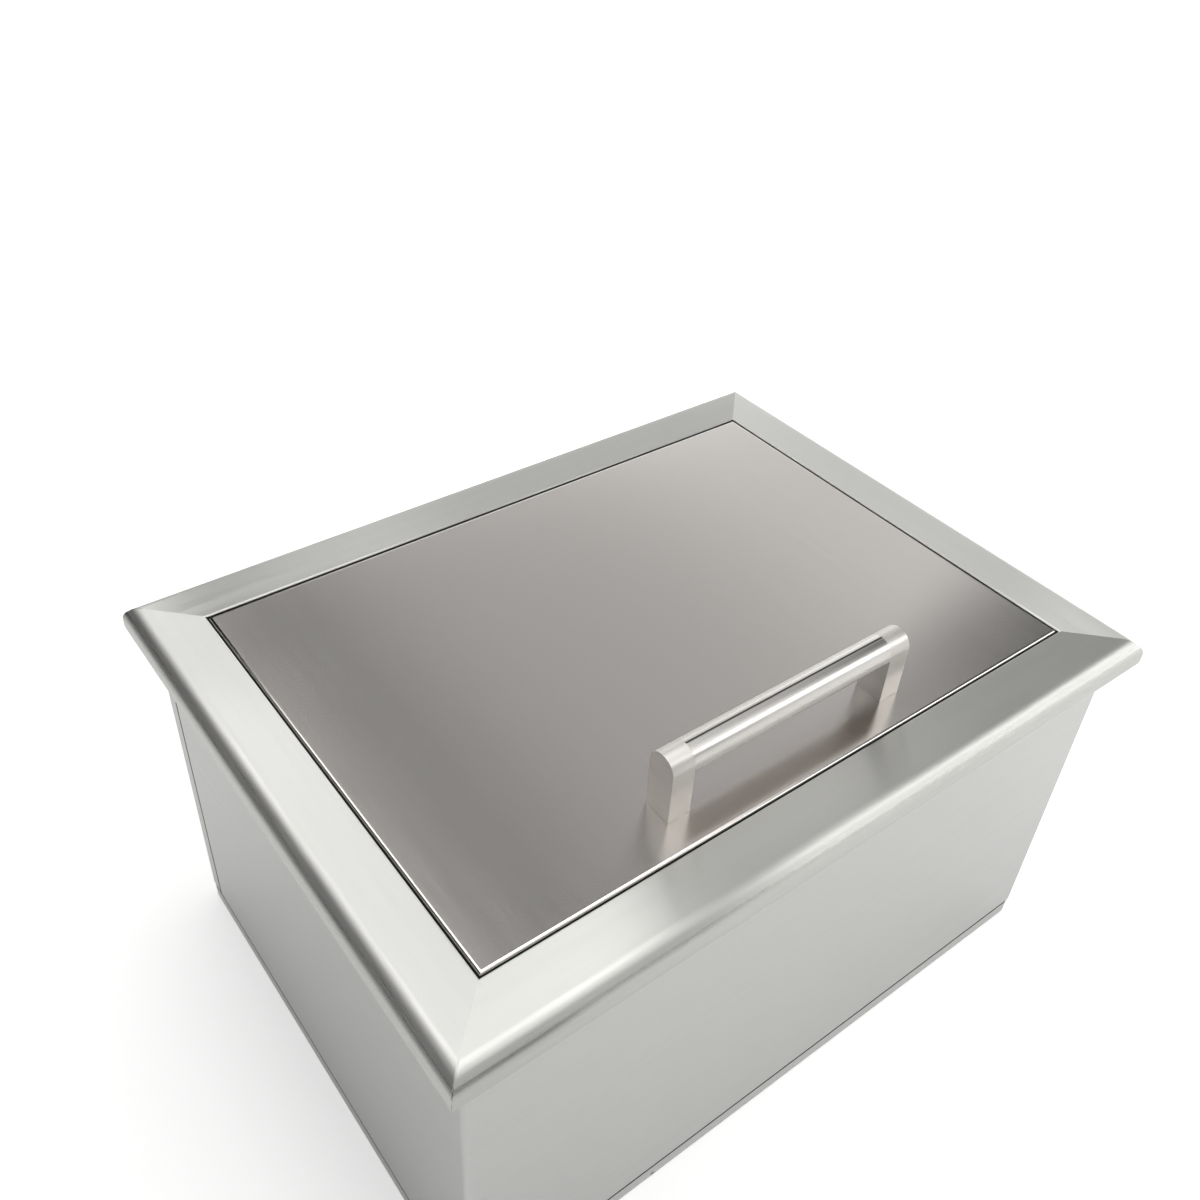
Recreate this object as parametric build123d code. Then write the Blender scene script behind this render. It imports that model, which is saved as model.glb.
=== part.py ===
from build123d import *
import os

# Drop-in ice bin: an insulated stainless tub that hangs by its rim in a countertop
# X runs along the front, Y towards the back, Z up, all in millimetres
# The origin is the centre of the counter cut-out, on the countertop

# Rim, four mitred strips folded from sheet, sizes seen from above
RIM_LENGTH = 610.0
RIM_WIDTH = 460.0
RIM_STRIP = 46.5
RIM_OVERHANG = 15.0
RIM_HEIGHT = 28.0
RIM_SHEET = 1.2
NOSE_TOP_RADIUS = 12.5
NOSE_FOOT_RADIUS = 8.0
RIM_BEND_RADIUS = 3.0
SKIRT_BELOW_LID = 12.0

# Outer shell, a wrap round the front and sides, a back panel and a bottom pan
BODY_DEPTH = 330.0
SHELL_SHEET = 1.0
SHELL_BEND_RADIUS = 3.0
SHELL_TOP_DROP = 10.0
BACK_FLANGE = 18.0
SHELL_SEAM = 1.5
PAN_FLANGE = 15.0
PAN_CORNER_RADIUS = 8.0
PAN_BEND_RADIUS = 2.5
PAN_VENT_RADIUS = 1.6
PAN_VENT_OFFSET = 131.0
PAN_VENT_HEIGHT = 4.5

# Tub, welded from sheet, hung under the rim's skirts
TUB_SHEET = 1.0
TUB_CORNER_RADIUS = 12.0
TUB_COVE_STEP = 2.0
TUB_FLANGE = 18.0
FLOOR_FOAM = 30.0
FOAM_SETBACK = 4.0

# Lid, a foamed box that closes flush with the rim
LID_GAP = 1.8
LID_THICKNESS = 22.0
LID_SHEET = 1.0
LID_BEND_RADIUS = 2.5
TRAY_SHEET = 0.8
TRAY_FLANGE_GAP = 1.0

# Lid rests, angles inside the front and side skirts, with a soft strip on top
REST_WIDTH = 12.0
REST_HEIGHT = 15.0
REST_SHEET = 1.2
REST_END_GAP = 4.0
STRIP_WIDTH = 8.0
STRIP_HEIGHT = 3.0
STRIP_SETBACK = 2.0
SOFT_GAP = 0.3

# Hinge, a pin on each side near the back edge of the lid, and a stop pin below it
PIVOT_SETBACK = 25.0
PIVOT_DROP = 8.0
LID_OPEN_ANGLE = 100.0
HINGE_PIN_RADIUS = 3.0
HINGE_PIN_FIT = 0.05
PIN_HEAD_RADIUS = 5.0
PIN_HEAD_LENGTH = 3.0
PIN_HEAD_GAP = 0.5
BUSH_WALL = 1.5
BUSH_FLANGE_RADIUS = 7.0
BUSH_FLANGE_SHEET = 0.6
PLATE_THICKNESS = 4.0
PLATE_HEIGHT = 10.0
PLATE_FRONT = 20.0
PLATE_BACK = 16.0
BOSS_THICKNESS = 12.0
BOSS_MARGIN = 4.5
STOP_PIN_RADIUS = 3.0
STOP_PIN_REACH = 14.0
STOP_FROM_EDGE = 2.0
PRESS_GAP = 0.02
POCKET_GAP = 1.0

# Handle, two posts and a bar with a round top, screwed on from below
HANDLE_LENGTH = 210.0
HANDLE_DEPTH = 22.2
HANDLE_HEIGHT = 51.6
HANDLE_POST = 18.0
HANDLE_FINGER_GAP = 35.0
HANDLE_SETBACK = 22.7
HANDLE_EDGE_RADIUS = 0.8
BAR_EDGE_RADIUS = 3.0
BAR_SEAM_WIDTH = 1.0
BAR_SEAM_DEPTH = 0.6
SCREW_RADIUS = 2.5
SCREW_LENGTH = 14.0
SCREW_HEAD_RADIUS = 4.75
SCREW_HEAD_HEIGHT = 3.0
SCREW_HOLE_GAP = 0.3
SCREW_THREAD_GAP = 0.05
WASHER_RADIUS = 9.0
WASHER_SHEET = 1.2

# Drain, a flanged body clamped through a dish in the tub's floor
DISH_RADIUS = 42.0
DISH_DEPTH = 5.0
DISH_BEND_RADIUS = 1.5
DRAIN_FLANGE_RADIUS = 34.0
DRAIN_FLANGE_THICKNESS = 3.0
DRAIN_GASKET_THICKNESS = 1.5
DRAIN_GASKET_RADIUS = 33.0
DRAIN_TAIL_RADIUS = 16.5
DRAIN_HOLE_GAP = 0.5
DRAIN_CUP_RADIUS = 14.0
DRAIN_OUTLET_RADIUS = 9.3
DRAIN_OUTLET_LENGTH = 14.0
DRAIN_END_DROP = 0.5
DRAIN_WASHER_RADIUS = 25.0
DRAIN_WASHER_THICKNESS = 1.5
LOCKNUT_FLATS = 46.0
LOCKNUT_HEIGHT = 7.0
LOCKNUT_POCKET_GAP = 4.0
STRAINER_RADIUS = 19.0
STRAINER_THICKNESS = 1.5
STRAINER_SIDE_GAP = 0.5
STRAINER_HOLE_RADIUS = 1.8
STRAINER_HOLE_RINGS = {6: 5.8, 12: 11.0}
KNOB_STEM_RADIUS = 2.5
KNOB_STEM_HEIGHT = 9.0
KNOB_RADIUS = 5.0

# One overrun serves all cuts
CUT = 5.0

# Levels
SKIRT_DEPTH = LID_THICKNESS + SKIRT_BELOW_LID
TOP = RIM_HEIGHT
BOTTOM = TOP - BODY_DEPTH
SKIRT_END = TOP - SKIRT_DEPTH
PAN_TOP = BOTTOM + SHELL_SHEET
TUB_UNDER = PAN_TOP + FLOOR_FOAM
TUB_FLOOR = TUB_UNDER + TUB_SHEET
TUB_COVE_RADIUS = TUB_CORNER_RADIUS - TUB_COVE_STEP
SHELL_END = BOTTOM + PAN_FLANGE + SHELL_SEAM
LID_UNDER = TOP - LID_THICKNESS
LID_CEILING = TOP - LID_SHEET
REST_TOP = LID_UNDER - SOFT_GAP - STRIP_HEIGHT

# Half sizes in plan
OPEN_X = RIM_LENGTH / 2 - RIM_STRIP
OPEN_Y = RIM_WIDTH / 2 - RIM_STRIP
BODY_X = RIM_LENGTH / 2 - RIM_OVERHANG
BODY_Y = RIM_WIDTH / 2 - RIM_OVERHANG
LID_X = OPEN_X - LID_GAP
LID_Y = OPEN_Y - LID_GAP
FOAM_X = OPEN_X + TUB_SHEET
FOAM_Y = OPEN_Y + TUB_SHEET

# Hinge line, and the place where the stop pin meets the open lid
PIVOT_Y = LID_Y - PIVOT_SETBACK
PIVOT_Z = TOP - PIVOT_DROP
STUB_DEPTH = LID_THICKNESS - PIVOT_DROP
STOP_ALONG_LID = PIVOT_SETBACK - STOP_FROM_EDGE
TRAY_FLANGE = STUB_DEPTH - PLATE_HEIGHT / 2 - TRAY_FLANGE_GAP
STOP_OFFSET = Vector(0, STOP_ALONG_LID, -STUB_DEPTH - SOFT_GAP - STOP_PIN_RADIUS).rotate(
    Axis.X, -LID_OPEN_ANGLE
)
STOP_Y = PIVOT_Y + STOP_OFFSET.Y
STOP_Z = PIVOT_Z + STOP_OFFSET.Z
REST_BACK_END = STOP_Y - STOP_PIN_RADIUS - REST_END_GAP

# Drain levels, from the dish down
DISH_FLOOR = TUB_FLOOR - DISH_DEPTH
DISH_UNDER = DISH_FLOOR - TUB_SHEET
DRAIN_FLANGE_UNDER = DISH_FLOOR + DRAIN_GASKET_THICKNESS
DRAIN_FLANGE_TOP = DRAIN_FLANGE_UNDER + DRAIN_FLANGE_THICKNESS
STRAINER_SEAT = DRAIN_FLANGE_TOP - STRAINER_THICKNESS
DRAIN_END = BOTTOM + DRAIN_END_DROP
NUT_TOP = DISH_UNDER - DRAIN_WASHER_THICKNESS
NUT_UNDER = NUT_TOP - LOCKNUT_HEIGHT

# Handle, where it stands on the lid
HANDLE_Y = -LID_Y + HANDLE_SETBACK + HANDLE_DEPTH / 2
POST_X = HANDLE_LENGTH / 2 - HANDLE_POST / 2
SCREW_HOLE_RADIUS = SCREW_RADIUS + SCREW_HOLE_GAP


def block(x_low, x_high, y_low, y_high, z_low, z_high):
    """A rectangular solid between two corners."""
    centre = ((x_low + x_high) / 2, (y_low + y_high) / 2, (z_low + z_high) / 2)
    return Pos(*centre) * Box(x_high - x_low, y_high - y_low, z_high - z_low)


def slab(half_x, half_y, z_low, z_high):
    """A rectangular solid centred on the Z axis."""
    return block(-half_x, half_x, -half_y, half_y, z_low, z_high)


def disc(radius, z_low, z_high, x=0, y=0):
    """An upright cylinder between two levels."""
    return Pos(x, y, (z_low + z_high) / 2) * Cylinder(radius, z_high - z_low)


def side_rod(radius, x_low, x_high, y, z):
    """A cylinder along X between two places."""
    return Pos((x_low + x_high) / 2, y, z) * Rot(0, 90, 0) * Cylinder(radius, x_high - x_low)


def round_slab(half_x, half_y, corner, z_low, z_high):
    """A slab with rounded upright edges."""
    solid = slab(half_x, half_y, z_low, z_high)
    return fillet(solid.edges().filter_by(Axis.Z), corner)


def bottom_edges(solid):
    """The edges of a solid's lowest face."""
    return solid.faces().sort_by(Axis.Z)[0].edges()


def top_edges(solid):
    """The edges of a solid's highest face."""
    return solid.faces().sort_by(Axis.Z)[-1].edges()


# Rim

def rim_section():
    """The folded section: inward along local X, up along local Y, outer face at zero."""
    foot = RIM_OVERHANG
    outer = [(RIM_STRIP, -SKIRT_DEPTH), (RIM_STRIP, 0), (0, 0), (0, -RIM_HEIGHT), (foot, -RIM_HEIGHT)]
    skin = RIM_SHEET
    inner = [
        (foot, skin - RIM_HEIGHT),
        (skin, skin - RIM_HEIGHT),
        (skin, -skin),
        (RIM_STRIP - skin, -skin),
        (RIM_STRIP - skin, -SKIRT_DEPTH),
    ]
    outer_radii = [RIM_BEND_RADIUS, NOSE_TOP_RADIUS, NOSE_FOOT_RADIUS]
    inner_radii = [radius - skin for radius in reversed(outer_radii)]
    outer_line = FilletPolyline(*outer, radius=outer_radii)
    inner_line = FilletPolyline(*inner, radius=inner_radii)
    ends = [Line(outer[-1], inner[0]), Line(inner[-1], outer[0])]
    return make_face(outer_line.edges() + inner_line.edges() + ends)


def rim_strip(length):
    """One strip of the rim in its own frame, cut at 45 degrees at both ends."""
    bar = extrude(rim_section(), length / 2, both=True)
    half = length / 2
    plan = Polyline(
        (0, -half), (RIM_STRIP, RIM_STRIP - half), (RIM_STRIP, half - RIM_STRIP), (0, half), close=True
    )
    wedge = extrude(Plane.XZ * make_face(plan), SKIRT_DEPTH + CUT, both=True)
    return bar & wedge


def rim_frames():
    """Each strip's name, its length and the plane that places it."""
    half_x = RIM_LENGTH / 2
    half_y = RIM_WIDTH / 2
    return {
        "rim_front": (RIM_LENGTH, Plane((0, -half_y, TOP), x_dir=(0, 1, 0), z_dir=(1, 0, 0))),
        "rim_back": (RIM_LENGTH, Plane((0, half_y, TOP), x_dir=(0, -1, 0), z_dir=(-1, 0, 0))),
        "rim_left": (RIM_WIDTH, Plane((-half_x, 0, TOP), x_dir=(1, 0, 0), z_dir=(0, -1, 0))),
        "rim_right": (RIM_WIDTH, Plane((half_x, 0, TOP), x_dir=(-1, 0, 0), z_dir=(0, 1, 0))),
    }


def rim_parts():
    """The four strips, with the pin holes through the side skirts."""
    holes = side_rod(HINGE_PIN_RADIUS + PRESS_GAP, -RIM_LENGTH / 2, RIM_LENGTH / 2, PIVOT_Y, PIVOT_Z)
    holes += side_rod(STOP_PIN_RADIUS + PRESS_GAP, -RIM_LENGTH / 2, RIM_LENGTH / 2, STOP_Y, STOP_Z)
    reach = OPEN_X + RIM_SHEET + BOSS_THICKNESS
    holes &= slab(reach, RIM_WIDTH / 2, SKIRT_END, TOP)
    strips = {name: plane * rim_strip(length) for name, (length, plane) in rim_frames().items()}
    for name in ("rim_left", "rim_right"):
        strips[name] -= holes
    return strips


# Outer shell

def folded_wall(outer, radii, sheet, z_low, z_high):
    """An upright wall of sheet that follows a path of right-angle bends in plan."""
    line = FilletPolyline(*outer, radius=radii)
    wall = extrude(make_face(offset(line, amount=sheet, side=Side.LEFT).edges()), z_high - z_low)
    return Pos(0, 0, z_low) * wall


def outer_wrap():
    """The front and both sides, bent from one sheet."""
    rear = BODY_Y - BACK_FLANGE - SHELL_SEAM
    path = [(-BODY_X, rear), (-BODY_X, -BODY_Y), (BODY_X, -BODY_Y), (BODY_X, rear)]
    return folded_wall(path, SHELL_BEND_RADIUS, SHELL_SHEET, SHELL_END, TOP - SHELL_TOP_DROP)


def back_panel():
    """The back, with a short flange wrapped on to each side."""
    front = BODY_Y - BACK_FLANGE
    path = [(BODY_X, front), (BODY_X, BODY_Y), (-BODY_X, BODY_Y), (-BODY_X, front)]
    return folded_wall(path, SHELL_BEND_RADIUS, SHELL_SHEET, SHELL_END, TOP - SHELL_TOP_DROP)


def bottom_pan():
    """The floor, with an upturned flange, rounded corners and the drain's hole."""
    skin = SHELL_SHEET
    rim_z = BOTTOM + PAN_FLANGE
    outer = round_slab(BODY_X, BODY_Y, PAN_CORNER_RADIUS, BOTTOM, rim_z)
    outer = fillet(bottom_edges(outer), PAN_BEND_RADIUS)
    inner = round_slab(BODY_X - skin, BODY_Y - skin, PAN_CORNER_RADIUS - skin, PAN_TOP, rim_z + CUT)
    inner = fillet(bottom_edges(inner), PAN_BEND_RADIUS - skin)
    vent = Pos(-PAN_VENT_OFFSET, -BODY_Y, BOTTOM + PAN_VENT_HEIGHT) * Rot(90, 0, 0)
    vent *= Cylinder(PAN_VENT_RADIUS, CUT)
    drain = disc(DRAIN_TAIL_RADIUS + DRAIN_HOLE_GAP, BOTTOM - CUT, PAN_TOP + CUT)
    return outer - inner - vent - drain


# Tub and foam

def tub_form(half_x, half_y, floor, top, growth):
    """The tub's inside as a solid, larger by growth where it is the sheet's other face."""
    corner = TUB_CORNER_RADIUS + growth
    form = round_slab(half_x, half_y, corner, floor, top)
    form = fillet(bottom_edges(form), TUB_COVE_RADIUS + growth)
    form += disc(DISH_RADIUS + growth, floor - DISH_DEPTH, floor + corner)
    form = fillet(bottom_edges(form), DISH_BEND_RADIUS + growth)
    rim = form.edges().filter_by(GeomType.CIRCLE).group_by(SortBy.RADIUS)[-1]
    return fillet(rim, DISH_BEND_RADIUS + TUB_SHEET - growth)


def inner_tub():
    """The tub, with coved edges, a flange at the top and a dish round the drain."""
    skin = TUB_SHEET
    outer = tub_form(FOAM_X, FOAM_Y, TUB_UNDER, SKIRT_END, skin)
    outer += slab(OPEN_X + TUB_FLANGE, OPEN_Y + TUB_FLANGE, SKIRT_END - skin, SKIRT_END)
    inner = tub_form(OPEN_X, OPEN_Y, TUB_FLOOR, SKIRT_END + CUT, 0)
    hole = disc(DRAIN_TAIL_RADIUS + DRAIN_HOLE_GAP, DISH_UNDER - CUT, DISH_FLOOR + CUT)
    return outer - inner - hole


def foam_parts():
    """Five slabs of foam between the tub and the shell."""
    shell_x = BODY_X - SHELL_SHEET
    shell_y = BODY_Y - SHELL_SHEET
    wall_low = TUB_UNDER
    wall_high = SKIRT_END - TUB_SHEET
    end_x = shell_x - FOAM_SETBACK
    parts = {
        "foam_front": block(-end_x, end_x, -shell_y, -FOAM_Y, wall_low, wall_high),
        "foam_back": block(-end_x, end_x, FOAM_Y, shell_y, wall_low, wall_high),
        "foam_left": block(-shell_x, -FOAM_X, -FOAM_Y, FOAM_Y, wall_low, wall_high),
        "foam_right": block(FOAM_X, shell_x, -FOAM_Y, FOAM_Y, wall_low, wall_high),
    }
    base = slab(end_x, shell_y - FOAM_SETBACK, PAN_TOP, wall_low)
    base -= tub_form(FOAM_X, FOAM_Y, TUB_UNDER, SKIRT_END, TUB_SHEET)
    pocket = LOCKNUT_FLATS / 2 + LOCKNUT_POCKET_GAP
    base -= disc(pocket, NUT_UNDER, wall_low + CUT)
    base -= disc(DRAIN_TAIL_RADIUS + DRAIN_HOLE_GAP, PAN_TOP - CUT, wall_low + CUT)
    parts["foam_bottom"] = base
    return parts


# Lid rests

def rest_angle(x_low, x_high, y_low, y_high, wall):
    """One angle under its own top; wall is the box that keeps only its upright leg."""
    top_leg = block(x_low, x_high, y_low, y_high, REST_TOP - REST_SHEET, REST_TOP)
    return top_leg + wall


def lid_rests():
    """Angles on the front, left and right, spot welded to the skirts and the tub."""
    z_low = REST_TOP - REST_HEIGHT
    inner_x = OPEN_X - REST_WIDTH
    front_y = REST_WIDTH - OPEN_Y
    corner_x = OPEN_X - TUB_CORNER_RADIUS
    front_leg = block(-corner_x, corner_x, -OPEN_Y, REST_SHEET - OPEN_Y, z_low, REST_TOP)
    side_start = front_y + SOFT_GAP
    side_leg = block(-OPEN_X, REST_SHEET - OPEN_X, side_start, REST_BACK_END, z_low, REST_TOP)
    left = rest_angle(-OPEN_X, -inner_x, side_start, REST_BACK_END, side_leg)
    return {
        "lid_rest_front": rest_angle(-OPEN_X, OPEN_X, -OPEN_Y, front_y, front_leg),
        "lid_rest_left": left,
        "lid_rest_right": mirror(left, Plane.YZ),
    }


def rest_strip():
    """The soft strip that the closed lid lies on, along three sides."""
    out_x = OPEN_X - STRIP_SETBACK
    in_x = out_x - STRIP_WIDTH
    out_y = OPEN_Y - STRIP_SETBACK
    in_y = out_y - STRIP_WIDTH
    z_high = REST_TOP + STRIP_HEIGHT
    whole = block(-out_x, out_x, -out_y, REST_BACK_END, REST_TOP, z_high)
    return whole - block(-in_x, in_x, -in_y, REST_BACK_END + CUT, REST_TOP - CUT, z_high + CUT)


# Hinge, right side; the left side is its mirror image

def hinge_boss():
    """The block welded behind the skirt that holds both pins."""
    x_low = OPEN_X + RIM_SHEET
    x_high = x_low + BOSS_THICKNESS
    y_low = STOP_Y - BOSS_MARGIN
    y_high = PIVOT_Y + BOSS_MARGIN
    boss = block(x_low, x_high, y_low, y_high, STOP_Z - BOSS_MARGIN, PIVOT_Z + BOSS_MARGIN)
    boss -= side_rod(HINGE_PIN_RADIUS + PRESS_GAP, x_low - CUT, x_high + CUT, PIVOT_Y, PIVOT_Z)
    return boss - side_rod(STOP_PIN_RADIUS + PRESS_GAP, x_low - CUT, x_high + CUT, STOP_Y, STOP_Z)


def hinge_pin():
    """The pin that the lid swings on, with its head inside the lid."""
    plate_inner = LID_X - LID_SHEET - PLATE_THICKNESS
    head_end = plate_inner - PIN_HEAD_GAP
    x_high = OPEN_X + RIM_SHEET + BOSS_THICKNESS
    head = side_rod(PIN_HEAD_RADIUS, head_end - PIN_HEAD_LENGTH, head_end, PIVOT_Y, PIVOT_Z)
    return head + side_rod(HINGE_PIN_RADIUS, head_end - PIN_HEAD_LENGTH, x_high, PIVOT_Y, PIVOT_Z)


def lid_stop_pin():
    """The pin that the back edge of the open lid leans on."""
    x_high = OPEN_X + RIM_SHEET + BOSS_THICKNESS
    return side_rod(STOP_PIN_RADIUS, OPEN_X - STOP_PIN_REACH, x_high, STOP_Y, STOP_Z)


def lid_hinge_plate():
    """The plate inside the lid's side wall that carries the bush."""
    x_high = LID_X - LID_SHEET
    x_low = x_high - PLATE_THICKNESS
    z_low = PIVOT_Z - PLATE_HEIGHT / 2
    z_high = PIVOT_Z + PLATE_HEIGHT / 2
    plate = block(x_low, x_high, PIVOT_Y - PLATE_FRONT, PIVOT_Y + PLATE_BACK, z_low, z_high)
    hole = HINGE_PIN_RADIUS + HINGE_PIN_FIT + BUSH_WALL + PRESS_GAP
    return plate - side_rod(hole, x_low - CUT, x_high + CUT, PIVOT_Y, PIVOT_Z)


def hinge_bush():
    """The plain bush in the lid, flanged towards the rim."""
    x_low = LID_X - LID_SHEET - PLATE_THICKNESS
    bore = HINGE_PIN_RADIUS + HINGE_PIN_FIT
    bush = side_rod(bore + BUSH_WALL, x_low, LID_X, PIVOT_Y, PIVOT_Z)
    bush += side_rod(BUSH_FLANGE_RADIUS, LID_X, LID_X + BUSH_FLANGE_SHEET, PIVOT_Y, PIVOT_Z)
    return bush - side_rod(bore, x_low - CUT, LID_X + CUT, PIVOT_Y, PIVOT_Z)


def hinge_parts():
    """Both sides of the hinge."""
    makers = {
        "hinge_boss": hinge_boss,
        "hinge_pin": hinge_pin,
        "lid_stop_pin": lid_stop_pin,
        "lid_hinge_plate": lid_hinge_plate,
        "hinge_bush": hinge_bush,
    }
    parts = {}
    for name, maker in makers.items():
        right = maker()
        parts[f"{name}_right"] = right
        parts[f"{name}_left"] = mirror(right, Plane.YZ)
    return parts


# Lid

def lid_top_skin():
    """The polished top with its downturned edges, drilled for screws and bushes."""
    skin = LID_SHEET
    outer = fillet(top_edges(slab(LID_X, LID_Y, LID_UNDER, TOP)), LID_BEND_RADIUS)
    inner = slab(LID_X - skin, LID_Y - skin, LID_UNDER - CUT, LID_CEILING)
    inner = fillet(top_edges(inner), LID_BEND_RADIUS - skin)
    shell = outer - inner
    bush = HINGE_PIN_RADIUS + HINGE_PIN_FIT + BUSH_WALL + PRESS_GAP
    shell -= side_rod(bush, -LID_X - CUT, LID_X + CUT, PIVOT_Y, PIVOT_Z)
    for x in (-POST_X, POST_X):
        shell -= disc(SCREW_HOLE_RADIUS, LID_CEILING - CUT, TOP + CUT, x, HANDLE_Y)
    return shell


def lid_bottom_tray():
    """The underside, a shallow tray nested in the top skin."""
    half_x = LID_X - LID_SHEET
    half_y = LID_Y - LID_SHEET
    skin = TRAY_SHEET
    outer = slab(half_x, half_y, LID_UNDER, LID_UNDER + TRAY_FLANGE)
    return outer - slab(half_x - skin, half_y - skin, LID_UNDER + skin, LID_UNDER + TRAY_FLANGE + CUT)


def lid_foam():
    """The foam core, with pockets for the hinge plates and the handle's screws."""
    half_x = LID_X - LID_SHEET - TRAY_SHEET
    half_y = LID_Y - LID_SHEET - TRAY_SHEET
    core = slab(half_x, half_y, LID_UNDER + TRAY_SHEET, LID_CEILING)
    core = fillet(top_edges(core), LID_BEND_RADIUS - LID_SHEET)
    head_room = PLATE_THICKNESS + PIN_HEAD_GAP + PIN_HEAD_LENGTH + POCKET_GAP
    front = PIVOT_Y - PLATE_FRONT
    back = PIVOT_Y + PLATE_BACK
    pocket_low = LID_UNDER + TRAY_FLANGE
    pocket_in = LID_X - LID_SHEET - head_room
    pocket = block(pocket_in, LID_X + CUT, front, back, pocket_low, TOP)
    core -= pocket
    core -= mirror(pocket, Plane.YZ)
    well = WASHER_SHEET + SCREW_HEAD_HEIGHT + POCKET_GAP
    for x in (-POST_X, POST_X):
        core -= disc(WASHER_RADIUS + POCKET_GAP, LID_CEILING - well, TOP, x, HANDLE_Y)
    return core


# Handle

def arch_bar(x_low, x_high, z_low):
    """A bar along X with an upright-sided, half-round-topped section."""
    radius = HANDLE_DEPTH / 2
    crown = TOP + HANDLE_HEIGHT - radius
    front = HANDLE_Y - radius
    back = HANDLE_Y + radius
    arch = side_rod(radius, x_low, x_high, HANDLE_Y, crown)
    arch &= block(x_low, x_high, front, back, crown, crown + radius)
    return block(x_low, x_high, front, back, z_low, crown) + arch


def handle_post(side):
    """One end post, drilled from below; side is -1 on the left and 1 on the right."""
    centre = side * POST_X
    post = arch_bar(centre - HANDLE_POST / 2, centre + HANDLE_POST / 2, TOP)
    end_face = post.faces().sort_by(Axis.X)[-1 if side > 0 else 0]
    rounded = [edge for edge in end_face.edges() if edge.center().Z > TOP + HANDLE_EDGE_RADIUS]
    post = fillet(rounded, HANDLE_EDGE_RADIUS)
    hole_top = TOP + SCREW_LENGTH
    return post - disc(SCREW_RADIUS + SCREW_THREAD_GAP, TOP - CUT, hole_top, centre, HANDLE_Y)


def handle_bar():
    """The grip between the posts, with rounded lower edges and a seam along its top."""
    half = HANDLE_LENGTH / 2 - HANDLE_POST
    under = TOP + HANDLE_FINGER_GAP
    bar = fillet(bottom_edges(arch_bar(-half, half, under)).filter_by(Axis.X), BAR_EDGE_RADIUS)
    crown = TOP + HANDLE_HEIGHT
    half_seam = BAR_SEAM_WIDTH / 2
    seam_low = crown - BAR_SEAM_DEPTH
    return bar - block(-half, half, HANDLE_Y - half_seam, HANDLE_Y + half_seam, seam_low, crown + CUT)


def handle_fasteners():
    """The screws and washers under the top skin, one of each below each post."""
    washer_low = LID_CEILING - WASHER_SHEET
    screw_top = washer_low + SCREW_LENGTH
    screws = []
    washers = []
    for x in (-POST_X, POST_X):
        shank = disc(SCREW_RADIUS, washer_low - SCREW_HEAD_HEIGHT, screw_top, x, HANDLE_Y)
        head = disc(SCREW_HEAD_RADIUS, washer_low - SCREW_HEAD_HEIGHT, washer_low, x, HANDLE_Y)
        screws.append(shank + head)
        washer = disc(WASHER_RADIUS, washer_low, LID_CEILING, x, HANDLE_Y)
        washers.append(washer - disc(SCREW_HOLE_RADIUS, washer_low - CUT, TOP, x, HANDLE_Y))
    return {"handle_screws": Compound(children=screws), "handle_washers": Compound(children=washers)}


# Drain

def drain_body():
    """The flanged body, with a seat for the strainer and a threaded outlet."""
    body = disc(DRAIN_FLANGE_RADIUS, DRAIN_FLANGE_UNDER, DRAIN_FLANGE_TOP)
    body += disc(DRAIN_TAIL_RADIUS, DRAIN_END, DRAIN_FLANGE_TOP)
    body -= disc(STRAINER_RADIUS + STRAINER_SIDE_GAP, STRAINER_SEAT, DRAIN_FLANGE_TOP + CUT)
    body -= disc(DRAIN_CUP_RADIUS, DRAIN_END + DRAIN_OUTLET_LENGTH, DRAIN_FLANGE_TOP)
    return body - disc(DRAIN_OUTLET_RADIUS, DRAIN_END - CUT, DRAIN_FLANGE_TOP)


def drain_ring(radius, z_low, z_high):
    """A washer round the drain's tail."""
    hole = DRAIN_TAIL_RADIUS + DRAIN_HOLE_GAP
    return disc(radius, z_low, z_high) - disc(hole, z_low - CUT, z_high + CUT)


def drain_locknut():
    """The hexagon nut that clamps the drain under the dish."""
    prism = extrude(RegularPolygon(LOCKNUT_FLATS / 2, 6, major_radius=False), LOCKNUT_HEIGHT)
    bore = DRAIN_TAIL_RADIUS + SCREW_THREAD_GAP
    return Pos(0, 0, NUT_UNDER) * prism - disc(bore, NUT_UNDER - CUT, NUT_TOP + CUT)


def drain_strainer():
    """The perforated disc that lifts out by its knob."""
    plate_top = STRAINER_SEAT + STRAINER_THICKNESS
    plate = disc(STRAINER_RADIUS, STRAINER_SEAT, plate_top)
    for count, ring_radius in STRAINER_HOLE_RINGS.items():
        for place in PolarLocations(ring_radius, count):
            plate -= Pos(0, 0, STRAINER_SEAT) * place * Cylinder(STRAINER_HOLE_RADIUS, CUT)
    knob_z = plate_top + KNOB_STEM_HEIGHT
    plate += disc(KNOB_STEM_RADIUS, STRAINER_SEAT, knob_z)
    return plate + Pos(0, 0, knob_z) * Sphere(KNOB_RADIUS)


def drain_parts():
    """All pieces of the drain."""
    return {
        "drain_body": drain_body(),
        "drain_gasket": drain_ring(DRAIN_GASKET_RADIUS, DISH_FLOOR, DRAIN_FLANGE_UNDER),
        "drain_washer": drain_ring(DRAIN_WASHER_RADIUS, NUT_TOP, DISH_UNDER),
        "drain_locknut": drain_locknut(),
        "drain_strainer": drain_strainer(),
    }


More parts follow.
